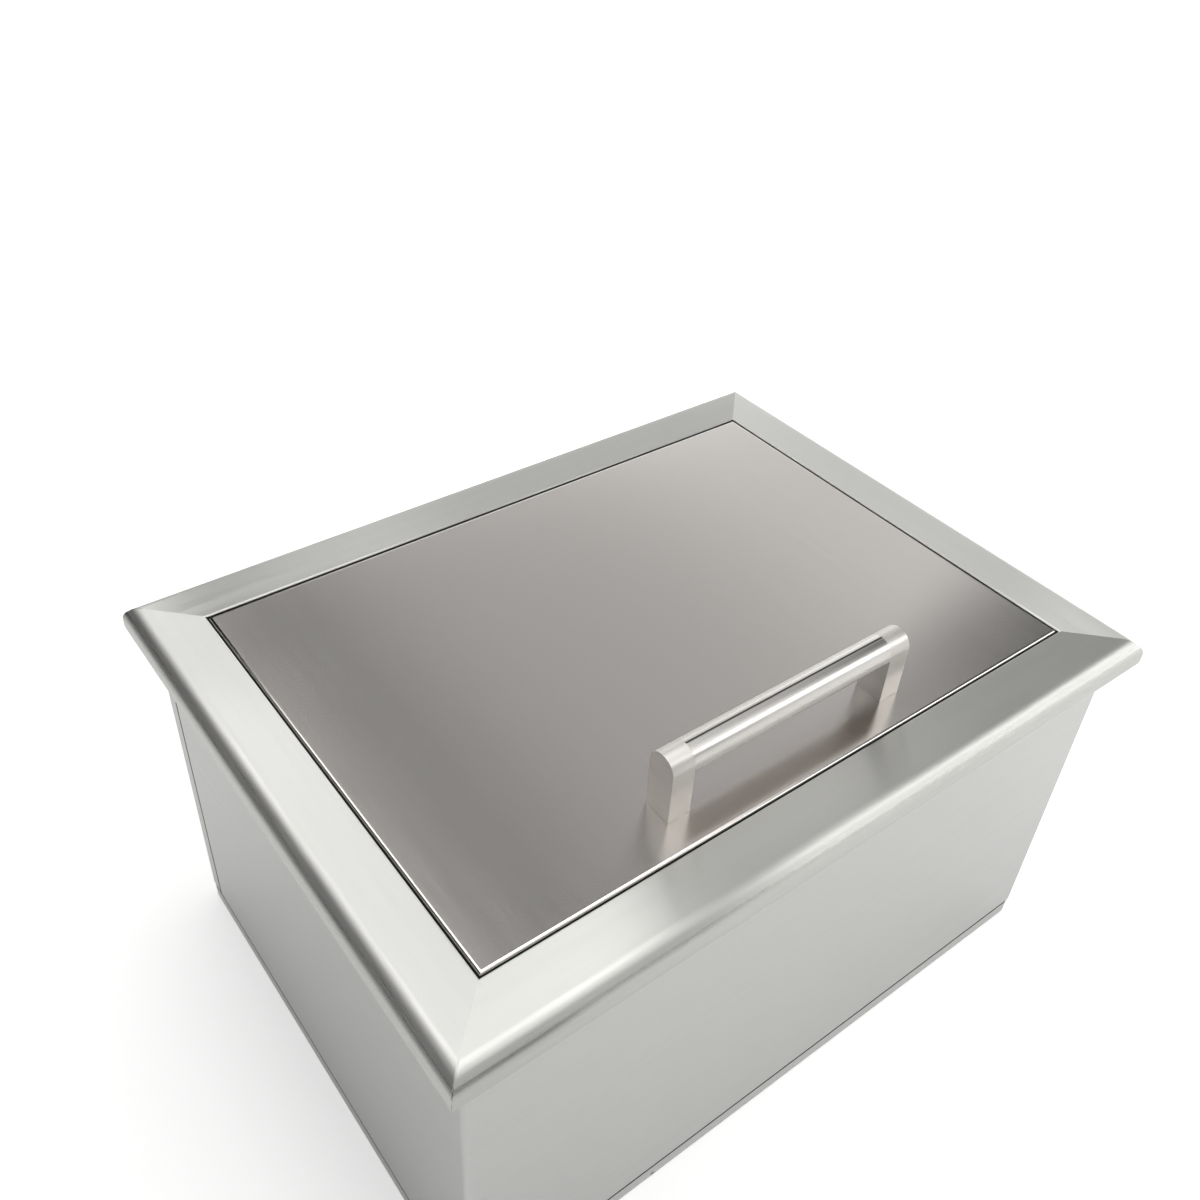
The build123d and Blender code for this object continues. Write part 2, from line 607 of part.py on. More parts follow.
def all_parts():
    """Every piece under its own name."""
    parts = rim_parts()
    parts["outer_wrap"] = outer_wrap()
    parts["back_panel"] = back_panel()
    parts["bottom_pan"] = bottom_pan()
    parts["inner_tub"] = inner_tub()
    parts.update(foam_parts())
    parts.update(lid_rests())
    parts["lid_rest_strip"] = rest_strip()
    parts.update(hinge_parts())
    parts["lid_top_skin"] = lid_top_skin()
    parts["lid_bottom_tray"] = lid_bottom_tray()
    parts["lid_foam"] = lid_foam()
    parts["handle_post_left"] = handle_post(-1)
    parts["handle_post_right"] = handle_post(1)
    parts["handle_bar"] = handle_bar()
    parts.update(handle_fasteners())
    parts.update(drain_parts())
    return parts


os.makedirs("parts", exist_ok=True)
for node, shape in all_parts().items():
    export_step(shape, f"parts/{node}.step")
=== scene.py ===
import logging
import math
from collections.abc import Callable
from dataclasses import dataclass, field, replace
from enum import Enum

import bmesh
import bpy
from mathutils import Matrix, Vector


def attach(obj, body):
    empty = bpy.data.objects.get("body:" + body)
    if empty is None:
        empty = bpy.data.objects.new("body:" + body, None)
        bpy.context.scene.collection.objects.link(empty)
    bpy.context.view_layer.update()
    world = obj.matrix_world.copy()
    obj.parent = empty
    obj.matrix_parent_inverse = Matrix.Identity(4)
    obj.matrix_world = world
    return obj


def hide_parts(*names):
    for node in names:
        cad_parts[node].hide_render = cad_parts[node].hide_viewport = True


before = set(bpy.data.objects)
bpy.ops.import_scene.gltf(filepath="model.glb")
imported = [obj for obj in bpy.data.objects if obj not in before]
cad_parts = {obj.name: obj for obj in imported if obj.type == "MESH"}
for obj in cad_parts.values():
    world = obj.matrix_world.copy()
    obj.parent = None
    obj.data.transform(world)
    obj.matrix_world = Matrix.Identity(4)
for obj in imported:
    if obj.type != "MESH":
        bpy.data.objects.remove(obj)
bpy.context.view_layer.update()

LOG = logging.getLogger("ice_bin")
MM = 0.001
Point2 = tuple[float, float]
Point3 = tuple[float, float, float]
Loop = list[Point3]
Piece = bpy.types.Object
Mesh = bmesh.types.BMesh
Tree = bpy.types.NodeTree
Node = bpy.types.Node
Source = bpy.types.NodeSocket | Node
Paint = tuple[dict, dict[str, Source]]

# Sizes are in millimetres, from the centre of the countertop's cut-out
RIM_LENGTH = 610.0
RIM_WIDTH = 460.0
RIM_STRIP = 46.5
TOP = 28.0
BOTTOM = -302.0
OPEN_X = RIM_LENGTH / 2 - RIM_STRIP
OPEN_Y = RIM_WIDTH / 2 - RIM_STRIP
# The painted shade inside the lid's gap starts this share of a sheet's bend radius below its flat
GAP_SHADE_STARTS = 0.9
# Noise seldom leaves this range, so its spread is taken from here
NOISE_RANGE = (0.3, 0.7)


class Grain(Enum):
    """The way the abrasive belt ran over a sheet, as the unit vector along the scratches."""

    ALONG_X = (1.0, 0.0, 0.0)
    ALONG_Y = (0.0, 1.0, 0.0)


def srgb(code: str) -> tuple[float, float, float, float]:
    """Turn a sRGB hex colour into the linear colour that a shader takes.

    Args:
        code: six hex digits after a hash sign.

    Returns:
        Linear red, green and blue, and an alpha of one.
    """
    parts = [int(code[i:i + 2], 16) / 255 for i in (1, 3, 5)]
    linear = [c / 12.92 if c <= 0.04045 else ((c + 0.055) / 1.055) ** 2.4 for c in parts]
    return (*linear, 1.0)


class Bench:
    """A node tree that is being built."""

    def __init__(self, tree: Tree, family: str) -> None:
        """Clear the tree.

        Args:
            tree: the node tree.
            family: what the type names of most of its nodes start with.
        """
        self.tree, self.family = tree, family
        tree.nodes.clear()

    def add(self, kind: str, settings: dict | None = None, links: dict | None = None) -> Node:
        """Add one node with its settings and links.

        Args:
            kind: the node's type name, without the family's start.
            settings: first attributes, under names with a leading dot, and then values by input.
            links: what feeds each input: a socket, or a node for its first output.

        Returns:
            The new node.
        """
        node = self.tree.nodes.new(kind if "Node" in kind else self.family + kind)
        for key, value in (settings or {}).items():
            if str(key).startswith("."):
                setattr(node, key[1:], value)
            else:
                node.inputs[key].default_value = value
        for key, source in (links or {}).items():
            socket = source.outputs[0] if isinstance(source, Node) else source
            self.tree.links.new(socket, node.inputs[key])
        return node


@dataclass(frozen=True)
class Finish:
    """What every finish has: a name, a colour in sRGB hex and a roughness."""

    name: str
    colour: str
    roughness: float

    def build(self) -> bpy.types.Material:
        """Make the material.

        Returns:
            The material.
        """
        material = bpy.data.materials.new(self.name)
        material.use_nodes = True
        tree = Bench(material.node_tree, "ShaderNode")
        place = tree.add("TexCoord").outputs["Object"]
        settings, links = self.paint(tree, place)
        shader = tree.add("BsdfPrincipled", settings, links)
        tree.add("OutputMaterial", links={"Surface": shader})
        return material

    def paint(self, tree: Bench, place: Source) -> Paint:
        """Draw the finish's pattern.

        Args:
            tree: the material's tree.
            place: the point on the piece, in metres.

        Returns:
            The shader's settings and links.
        """
        raise NotImplementedError

    def uneven(self, tree: Bench, dark: tuple, stain: Source, grain: Source,
               spread: float, relief: Source, depth_mm: float,
               grain_range: Point2 = NOISE_RANGE) -> dict[str, Source]:
        """Make the colour, the roughness and the surface as uneven as the real ones.

        Args:
            tree: the material's tree.
            dark: the linear colour where the stain is strongest.
            stain: the pattern of the colour.
            grain: the pattern of the roughness.
            spread: the share by which the roughness goes up and down.
            relief: the pattern of the surface's height.
            depth_mm: how deep the relief is.
            grain_range: the values of the grain between which the roughness goes up.

        Returns:
            The shader's links.
        """
        tint = tree.add("Mix", {".data_type": "RGBA", 6: srgb(self.colour), 7: dark}, {0: stain})
        low, high = self.roughness * (1 - spread), min(1.0, self.roughness * (1 + spread))
        rough = tree.add("MapRange", {1: grain_range[0], 2: grain_range[1], 3: low, 4: high}, {0: grain})
        bump = tree.add("Bump", {"Strength": 1.0, "Distance": depth_mm * MM}, {"Height": relief})
        return {"Base Color": tint.outputs[2], "Roughness": rough, "Normal": bump}


@dataclass(frozen=True)
class BrushedSteel(Finish):
    """304 stainless sheet, belt brushed: fine parallel scratches smear a reflection sideways."""

    scratched: str
    grain: Grain
    anisotropy: float
    # Belt scratches are 0.05 mm apart; they are drawn coarser, so that they show
    scratch_mm: float = 0.9
    scratch_length_mm: float = 60.0
    depth_mm: float = 0.0003
    mottle: float = 0.12
    # Groups of scratches make bands this many times as wide, with this share of the pattern
    band_width: float = 7.0
    band_share: float = 0.4
    sheet_wave_mm: float = 0.0
    sheet_wave_size_mm: float = 120.0
    # The roll at a sheet's edge is buffed brighter than the flat, which comes off the belt
    roll_roughness: float = 0.0
    roll_starts_mm: float = TOP - 0.5
    roll_ends_mm: float = TOP - 6.0

    def paint(self, tree: Bench, place: Source) -> Paint:
        """Draw the scratches, their bands and the sheet's slow waves.

        Args:
            tree: the material's tree.
            place: the point on the piece.

        Returns:
            The shader's settings and links.
        """
        fine = [
            1 / ((self.scratch_length_mm if along else self.scratch_mm) * MM)
            for along in self.grain.value
        ]
        layers = []
        for scale, detail, soft in ((fine, 3.0, 0.6), ([s / self.band_width for s in fine], 2.0, 0.5)):
            stretched = tree.add("Mapping", {"Scale": scale}, {"Vector": place})
            layers.append(tree.add(
                "TexNoise", {"Scale": 1.0, "Detail": detail, "Roughness": soft}, {"Vector": stretched},
            ))
        scratches, bands = layers
        mixed = tree.add("Math", {".operation": "MULTIPLY", 1: 1 - self.band_share}, {0: scratches})
        mixed = tree.add("Math", {".operation": "MULTIPLY_ADD", 1: self.band_share}, {0: bands, 2: mixed})
        links = self.uneven(tree, srgb(self.scratched), mixed, mixed, self.mottle, scratches, self.depth_mm)
        if self.roll_roughness:
            links["Roughness"] = self.buffed_roll(tree, place, links["Roughness"])
        if self.sheet_wave_mm:
            slow = tree.add(
                "TexNoise", {"Scale": 1 / (self.sheet_wave_size_mm * MM), "Detail": 0.0, "Roughness": 0.0},
                {"Vector": place},
            )
            wave = tree.add("Bump", {"Strength": 1.0, "Distance": self.sheet_wave_mm * MM}, {"Height": slow})
            tree.tree.links.new(wave.outputs[0], links["Normal"].inputs["Normal"])
        links["Tangent"] = self.smear(tree)
        return {"Metallic": 1.0, "Anisotropic": self.anisotropy}, links

    def buffed_roll(self, tree: Bench, place: Source, rough: Source) -> Source:
        """Make the roll smoother than the flat.

        Args:
            tree: the material's tree.
            place: the point on the piece.
            rough: the flat's roughness.

        Returns:
            The roughness of the flat and the roll.
        """
        high = tree.add("SeparateXYZ", links={0: place}).outputs["Z"]
        share = tree.add(
            "MapRange", {
                1: self.roll_ends_mm * MM, 2: self.roll_starts_mm * MM,
                3: self.roll_roughness / self.roughness, 4: 1.0,
            }, {0: high},
        )
        return tree.add("Math", {".operation": "MULTIPLY"}, {0: rough, 1: share})

    def smear(self, tree: Bench) -> Source:
        """Find the way a reflection smears: across the scratches, in the plane of the sheet.

        Args:
            tree: the material's tree.

        Returns:
            The shader's tangent, which follows the sheet round its bends.
        """
        along = tree.add("CombineXYZ", dict(enumerate(self.grain.value)))
        turned = tree.add(
            "VectorTransform",
            {".vector_type": "VECTOR", ".convert_from": "OBJECT", ".convert_to": "WORLD"}, {0: along},
        )
        facing = tree.add("NewGeometry").outputs["Normal"]
        return tree.add("VectorMath", {".operation": "CROSS_PRODUCT"}, {0: turned, 1: facing})


@dataclass(frozen=True)
class MachinedSteel(Finish):
    """Turned, milled or tumbled steel: even, with very fine tool marks and faint stains."""

    # Tool marks are a few hundredths of a millimetre apart, and are drawn coarser
    mark_mm: float = 0.5
    depth_mm: float = 0.002
    mottle: float = 0.15
    stain_mm: float = 14.0
    stained: float = 0.88

    def paint(self, tree: Bench, place: Source) -> Paint:
        """Draw the tool marks and the stains.

        Args:
            tree: the material's tree.
            place: the point on the piece.

        Returns:
            The shader's settings and links.
        """
        marks, stains = (
            tree.add("TexNoise", {"Scale": 1 / (size * MM), "Detail": detail}, {"Vector": place})
            for size, detail in ((self.mark_mm, 2.0), (self.stain_mm, 1.0))
        )
        dark = tuple(c * self.stained for c in srgb(self.colour)[:3]) + (1.0,)
        links = self.uneven(tree, dark, stains, marks, self.mottle, marks, self.depth_mm)
        return {"Metallic": 1.0}, links


@dataclass(frozen=True)
class GrainyPolymer(Finish):
    """A polymer with an even surface grain: moulded nylon, sponge, silicone or rigid foam."""

    shade: str
    ior: float
    grain_mm: float
    depth_mm: float
    cells: bool = False
    mottle: float = 0.1

    def paint(self, tree: Bench, place: Source) -> Paint:
        """Draw the grain or the cut cells.

        Args:
            tree: the material's tree.
            place: the point on the piece.

        Returns:
            The shader's settings and links.
        """
        scale = 1 / (self.grain_mm * MM)
        if self.cells:
            grain = tree.add("TexVoronoi", {"Scale": scale}, {"Vector": place})
        else:
            grain = tree.add("TexNoise", {"Scale": scale, "Detail": 3.0}, {"Vector": place})
        links = self.uneven(
            tree, srgb(self.shade), grain, grain, self.mottle, grain, self.depth_mm, (0.0, 1.0)
        )
        return {"IOR": self.ior}, links


@dataclass(frozen=True)
class StageCloth(Finish):
    """A matt cloth or paper of the studio, slightly mottled by its fibres."""

    shade: str
    fibre_mm: float
    gloss: float

    def paint(self, tree: Bench, place: Source) -> Paint:
        """Draw the fibres.

        Args:
            tree: the material's tree.
            place: the point on the piece.

        Returns:
            The shader's settings and links.
        """
        fibre = tree.add("TexNoise", {"Scale": 1 / (self.fibre_mm * MM)}, {"Vector": place})
        tint = tree.add("Mix", {".data_type": "RGBA", 6: srgb(self.colour), 7: srgb(self.shade)}, {0: fibre})
        settings = {"Roughness": self.roughness, "Specular IOR Level": self.gloss}
        return settings, {"Base Color": tint.outputs[2]}


@dataclass(frozen=True)
class WhitePaper(StageCloth):
    """Paper that is lifted to white for the eye, less for metal, and keeps the shadow."""

    # The lift near the bin, the distances over which it rises to one, and what metal sees of it
    lift: float = 0.5
    near_m: float = 0.7
    far_m: float = 1.6
    mirrored_lift: float = 0.175

    def paint(self, tree: Bench, place: Source) -> Paint:
        """Draw the fibres and the lift.

        Args:
            tree: the material's tree.
            place: the point on the piece.

        Returns:
            The shader's settings and links.
        """
        settings, links = super().paint(tree, place)
        path = tree.add("LightPath").outputs
        mirrors = tree.add(
            "Math", {".operation": "MAXIMUM"}, {0: path["Is Glossy Ray"], 1: path["Is Transmission Ray"]},
        )
        mirrored = tree.add("Math", {".operation": "MULTIPLY", 1: self.mirrored_lift}, {0: mirrors})
        distance = tree.add("VectorMath", {".operation": "LENGTH"}, {0: place})
        white = tree.add(
            "MapRange", {1: self.near_m, 2: self.far_m, 3: self.lift, 4: 1.0}, {0: distance.outputs["Value"]},
        )
        seen = tree.add("Math", {".operation": "MULTIPLY"}, {0: path["Is Camera Ray"], 1: white})
        links["Emission Strength"] = tree.add("Math", {".operation": "MAXIMUM"}, {0: seen, 1: mirrored})
        return settings | {"Emission Color": srgb("#FFFFFF")}, links


@dataclass
class FinishShelf:
    """Every finish of the ice bin, made once."""

    made: dict[str, bpy.types.Material] = field(default_factory=dict)

    def get(self, finish: Finish) -> bpy.types.Material:
        """Give a finish's material, and make it the first time.

        Args:
            finish: the finish.

        Returns:
            Its material.
        """
        if finish.name not in self.made:
            self.made[finish.name] = finish.build()
        return self.made[finish.name]


# 304 strip off a coarse belt: a pale flat with long lines, and a brighter buffed roll. It is one steel in two
#                              colours of painted light: the side strips along Y are painted lighter than the
#                              front and back strips along X, to match how bright each lies in the light
RIM_ALONG_X_SHADED = BrushedSteel(
    "rim_brushed_along_x", "#D4D4D0", 0.34, "#CBCBC7", Grain.ALONG_X, 1.0, roll_roughness=0.26,
)
RIM_ALONG_Y_LIT = BrushedSteel(
    "rim_brushed_along_y", "#ECECE8", 0.34, "#E3E3DF", Grain.ALONG_Y, 1.0, roll_roughness=0.26,
)
# Painted shade: dull dark grey on the sheet faces inside the lid's gap and in the handle's seam groove, where
# shade falls
GAP_SHADE = MachinedSteel("sheet_mill_edge", "#6E6E6C", 0.5)
# 304 sheet off a fine belt: a calm warm grey that mirrors the room in soft strokes
LID_SATIN = BrushedSteel(
    "lid_fine_satin", "#D6D2CE", 0.19, "#D1CDC9", Grain.ALONG_Y, 0.9, scratch_mm=1.2, depth_mm=0.0,
    mottle=0.06,
)
# Satin 304 sheet, folded and slightly wavy: a smooth pale grey that shades slowly
BODY_SATIN = BrushedSteel(
    "shell_satin_sheet", "#D6D6D4", 0.34, "#CFCFCD", Grain.ALONG_X, 0.3, depth_mm=0.0001,
    mottle=0.06, sheet_wave_mm=0.1, sheet_wave_size_mm=300.0,
)
BODY_SIDE_SATIN = replace(BODY_SATIN, name="shell_satin_side", grain=Grain.ALONG_Y)
# Deep-drawn 304 with a satin: wavier and duller than the shell
LINER_SATIN = BrushedSteel(
    "liner_satin", "#CCCBC8", 0.36, "#BDBCB9", Grain.ALONG_Y, 0.2, scratch_mm=1.4, depth_mm=0.002,
    mottle=0.1, sheet_wave_mm=0.25, sheet_wave_size_mm=180.0,
)
# A 304 bar, drawn and satin ground: a bright soft line along its crown
HANDLE_SATIN = BrushedSteel(
    "handle_bar_satin", "#E2DFDB", 0.28, "#DAD7D3", Grain.ALONG_X, 0.5, scratch_mm=0.8,
    depth_mm=0.0, mottle=0.05,
)
# Milled and tumbled 304: a soft warm white without lines
POST_SATIN = MachinedSteel("handle_post_satin", "#E4E1DC", 0.45, mark_mm=0.8, depth_mm=0.0001)
# Blackened mild steel, dark and half glossy, kept dark also as painted shade where the hinge shows through
# the lid's gap
HINGE_DARK_AND_SHADE = MachinedSteel("hinge_blackened", "#3A3A3B", 0.35)
# Turned 304: nearly mirror bright
DRAIN_STEEL = MachinedSteel("drain_turned", "#CFCECB", 0.2)
# Bright zinc plate over mild steel: a cool even grey
FASTENER_STEEL = MachinedSteel("fastener_plain", "#BEBEBF", 0.3)
# Moulded black nylon: a low even sheen
NYLON = GrainyPolymer("bush_black_nylon", "#1C1C1C", 0.45, "#151515", 1.53, 0.4, 0.01)
# Cut sponge rubber: soft black, no gloss
SPONGE = GrainyPolymer("strip_sponge_rubber", "#232323", 0.85, "#171717", 1.52, 0.5, 0.08)
# Silicone sealant, tooled by hand, that also paints the shade in the seams' gaps: a matt near-black line with
# hardly any light in it
SEALANT_AND_SHADE = GrainyPolymer("seam_black_silicone", "#060606", 0.85, "#040404", 1.41, 3.0, 0.02)
# Rigid polyurethane foam, cut with a saw: straw yellow, matt, with small cells
FOAM = GrainyPolymer("insulation_foam", "#DCCB98", 0.95, "#C2AE79", 1.5, 0.9, 0.25, cells=True)
# Background paper off the roll, and cotton velvet that gives back almost no light
PAPER = WhitePaper("floor_white_paper", "#F6F6F5", 0.9, "#F3F3F2", 25.0, 0.5)
VELVET = StageCloth("black_studio_cloth", "#0B0B0B", 1.0, "#070707", 5.0, 0.0)
SHELF = FinishShelf()


def rounded_path(points: list[Point2], radii: list[float], steps: int = 8) -> list[Point2]:
    """Round the inner corners of an open path.

    Args:
        points: the path's corners.
        radii: one radius for each corner between the ends.
        steps: the pieces that each arc is cut into.

    Returns:
        The points of the rounded path.
    """
    path = [points[0]]
    for before, corner, after, radius in zip(points, points[1:], points[2:], radii):
        c = Vector(corner)
        a = (Vector(before) - c).normalized()
        b = (Vector(after) - c).normalized()
        half = a.angle(b) / 2
        start = c + a * radius / math.tan(half)
        centre = c + (a + b).normalized() * radius / math.sin(half)
        end = c + b * radius / math.tan(half)
        turn = (end - centre).angle_signed(start - centre)
        for i in range(steps + 1):
            spoke = (start - centre).copy()
            spoke.rotate(Matrix.Rotation(turn * i / steps, 2))
            path.append(tuple(centre + spoke))
    path.append(points[-1])
    return path


def frame_loop(half_x: float, half_y: float, radius: float, level: float, steps: int) -> Loop:
    """Draw one level loop of points round a rectangle with rounded corners.

    Args:
        half_x: half the length.
        half_y: half the width.
        radius: the corner radius, or zero.
        level: the height.
        steps: the pieces that each corner is cut into.

    Returns:
        The loop's points, anticlockwise from the right side's rear.
    """
    loop = []
    for quarter, (sx, sy) in enumerate(((1, 1), (-1, 1), (-1, -1), (1, -1))):
        for i in range(steps + 1):
            angle = math.pi / 2 * (quarter + i / steps)
            x = sx * (half_x - radius) + radius * math.cos(angle)
            y = sy * (half_y - radius) + radius * math.sin(angle)
            loop.append((x, y, level))
    return loop


def ring_loop(radius: float, level: float, steps: int) -> Loop:
    """Draw one level circle whose points answer those of frame_loop.

    Args:
        radius: the circle's radius.
        level: the height.
        steps: the pieces that each corner of the answering frame is cut into.

    Returns:
        The circle's points.
    """
    angles = [
        math.pi / 2 * (quarter + (i + 0.5) / (steps + 1))
        for quarter in range(4) for i in range(steps + 1)
    ]
    return [(radius * math.cos(angle), radius * math.sin(angle), level) for angle in angles]


def join_loops(mesh: Mesh, loops: list[Loop], closed: bool) -> list[list[bmesh.types.BMVert]]:
    """Bridge loops of equal length, one after the other.

    Args:
        mesh: the mesh that is added to.
        loops: the loops.
        closed: whether the last loop joins the first.

    Returns:
        The rows of vertices.
    """
    rows = [[mesh.verts.new(p) for p in loop] for loop in loops]
    pairs = list(zip(rows, rows[1:])) + ([(rows[-1], rows[0])] if closed else [])
    for low, high in pairs:
        for i in range(len(low)):
            j = (i + 1) % len(low)
            mesh.faces.new((low[i], low[j], high[j], high[i]))
    return rows


def finish_mesh(name: str, mesh: Mesh, look: Finish, smooth_deg: float = 30.0,
                unit: float = MM) -> Piece:
    """Scale a mesh to metres, point its faces outwards, shade it and put it in the scene.

    Args:
        name: the piece's name.
        mesh: the mesh.
        look: the piece's finish.
        smooth_deg: edges that turn more than this stay sharp.
        unit: the mesh's unit, in metres.

    Returns:
        The new object.
    """
    bmesh.ops.scale(mesh, vec=(unit, unit, unit), verts=mesh.verts)
    bmesh.ops.remove_doubles(mesh, verts=mesh.verts, dist=1e-6)
    bmesh.ops.recalc_face_normals(mesh, faces=mesh.faces)
    data = bpy.data.meshes.new(name)
    mesh.to_mesh(data)
    mesh.free()
    data.materials.append(SHELF.get(look))
    data.polygons.foreach_set("use_smooth", [True] * len(data.polygons))
    data.set_sharp_from_angle(angle=math.radians(smooth_deg))
    piece = bpy.data.objects.new(name, data)
    bpy.context.scene.collection.objects.link(piece)
    # The large flat faces set the shading, so that flats look flat beside a bend
    modifier = piece.modifiers.new("weighted", "WEIGHTED_NORMAL")
    modifier.mode, modifier.weight, modifier.keep_sharp = "FACE_AREA", 50, True
    bake_modifiers(piece)
    return piece


def bake_modifiers(piece: Piece) -> None:
    """Turn a piece's evaluated shape into its plain mesh and take its modifiers away.

    Args:
        piece: the object.
    """
    bpy.context.view_layer.update()
    shaped = piece.evaluated_get(bpy.context.evaluated_depsgraph_get())
    data = bpy.data.meshes.new_from_object(shaped)
    data.name = piece.name
    piece.modifiers.clear()
    piece.data = data


def second_finish(piece: Piece, look: Finish, fits: Callable[[Vector, Vector], bool]) -> None:
    """Give part of a piece another finish.

    Args:
        piece: the piece.
        look: the other finish.
        fits: tells from a face's centre, in mm, and its normal whether it has the other finish.
    """
    piece.data.materials.append(SHELF.get(look))
    slot = len(piece.data.materials) - 1
    for face in piece.data.polygons:
        if fits(face.center / MM, face.normal):
            face.material_index = slot


def ride(piece: Piece, body: str, slot: str, *nodes: str) -> None:
    """Put a piece on its body and let it stand for its CAD nodes.

    Args:
        piece: the finished piece.
        body: the body that it moves with.
        slot: the record's material slot; not used.
        nodes: the CAD nodes that it stands for.
    """
    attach(piece, body)
    if nodes:
        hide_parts(*nodes)
    LOG.info("%s rides on %s and stands for %s", piece.name, body, ", ".join(nodes) or "nothing")


def dress_node(node: str, look: Finish) -> None:
    """Give a CAD node its finish.

    Args:
        node: the node's name.
        look: its finish.
    """
    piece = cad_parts[node]
    piece.data.materials.clear()
    piece.data.materials.append(SHELF.get(look))
    LOG.info("%s keeps its solid's mesh", node)


def smooth_copy(node: str, body: str, slot: str, look: Finish) -> None:
    """Stand a smoothly shaded copy of a node's mesh in for its faceted solid.

    Args:
        node: the CAD node's name.
        body: the body that it moves with.
        slot: the record's material slot.
        look: its finish.
    """
    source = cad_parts[node]
    mesh = bmesh.new()
    mesh.from_mesh(source.data)
    bmesh.ops.transform(mesh, matrix=source.matrix_world, verts=mesh.verts)
    piece = finish_mesh(f"{node}_smooth", mesh, look, smooth_deg=28.0, unit=1.0)
    ride(piece, body, slot, node)


class ShapeTree(Bench):
    """A geometry nodes tree that is made here and turned into a plain mesh."""

    SOCKETS = {float: "NodeSocketFloat", int: "NodeSocketInt", bpy.types.Material: "NodeSocketMaterial"}
    SMOOTH_DEG = 35.0
    EASED_DEG = 50.0

    def __init__(self, name: str, look: Finish, lengths: dict[str, float],
                 counts: dict[str, float | int] | None = None) -> None:
        """Open the tree with a geometry input and the named inputs.

        Args:
            name: the tree's name.
            look: the finish of what it makes.
            lengths: the name and value of each input that is a length.
            counts: the name and value of each input that has no unit.
        """
        self.name, self.look = name, look
        self.values = {label: length * MM for label, length in lengths.items()}
        self.values |= (counts or {}) | {"Material": SHELF.get(look)}
        super().__init__(bpy.data.node_groups.new(name, "GeometryNodeTree"), "GeometryNode")
        face = self.tree.interface
        face.new_socket("Geometry", in_out="INPUT", socket_type="NodeSocketGeometry")
        self.keys = {}
        for label, value in self.values.items():
            kind = self.SOCKETS[type(value)]
            self.keys[label] = face.new_socket(label, in_out="INPUT", socket_type=kind).identifier
        face.new_socket("Geometry", in_out="OUTPUT", socket_type="NodeSocketGeometry")
        self.given = self.add("NodeGroupInput").outputs

    def finish(self, shape: Source, paths: list[Loop] | None = None, edge: float = 0.0) -> Piece:
        """Close the tree, run it once and keep the plain mesh.

        Args:
            shape: the geometry that the tree has made.
            paths: the corners of each line that it starts from; a closed one ends at its start.
            edge: the width of the eased edges, or zero.

        Returns:
            The finished piece.
        """
        real = self.add("RealizeInstances", links={0: shape})
        painted = self.add("SetMaterial", links={"Geometry": real, "Material": self.given["Material"]})
        self.add("NodeGroupOutput", links={0: painted})
        corners, edges = [], []
        for path in paths or []:
            closed = path[0] == path[-1]
            first, count = len(corners), len(path) - closed
            corners += [tuple(v * MM for v in corner) for corner in path[:count]]
            edges += [(first + i, first + i + 1) for i in range(count - 1)]
            edges += [(first + count - 1, first)] * closed
        data = bpy.data.meshes.new(self.name)
        data.from_pydata(corners, edges, [])
        seed = bpy.data.objects.new(self.name, data)
        bpy.context.scene.collection.objects.link(seed)
        modifier = seed.modifiers.new("shape", "NODES")
        modifier.node_group = self.tree
        for label, value in self.values.items():
            modifier[self.keys[label]] = value
        if edge:
            bevel = seed.modifiers.new("edge", "BEVEL")
            bevel.width, bevel.segments, bevel.limit_method = edge * MM, 3, "ANGLE"
            bevel.angle_limit = math.radians(self.EASED_DEG)
        bake_modifiers(seed)
        mesh = bmesh.new()
        mesh.from_mesh(seed.data)
        # The faces that a boolean cuts come with a slot of their own
        for face in mesh.faces:
            face.material_index = 0
        bpy.data.objects.remove(seed)
        return finish_mesh(self.name, mesh, self.look, self.SMOOTH_DEG, unit=1.0)


@dataclass(frozen=True)
class PressedStrip:
    """A rounded strip that is pressed along a path: a seam's sealant and painted shade, or a soft rest."""

    name: str
    width: float
    height: float
    edge: float
    corner: float

    def build(self, paths: list[Loop], look: Finish) -> Piece:
        """Sweep the strip's section along its paths.

        Args:
            paths: the corners of each path.
            look: the strip's finish.

        Returns:
            The strip.
        """
        tree = ShapeTree(self.name, look, {
            "Strip Width": self.width, "Strip Height": self.height, "Strip Edge": self.edge,
            "Corner Radius": self.corner,
        })
        given = tree.given
        line = tree.add("MeshToCurve", links={0: given["Geometry"]})
        bent = tree.add(
            "FilletCurve", {".mode": "POLY", "Count": 5, "Limit Radius": True},
            {"Curve": line, "Radius": given["Corner Radius"]},
        )
        upright = tree.add("SetCurveNormal", {".mode": "Z_UP"}, {"Curve": bent})
        flat = tree.add(
            "CurvePrimitiveQuadrilateral",
            links={"Width": given["Strip Width"], "Height": given["Strip Height"]},
        )
        section = tree.add(
            "FilletCurve", {".mode": "POLY", "Count": 4, "Limit Radius": True},
            {"Curve": flat, "Radius": given["Strip Edge"]},
        )
        swept = tree.add("CurveToMesh", {"Fill Caps": True}, {"Curve": upright, "Profile Curve": section})
        return tree.finish(swept, paths)


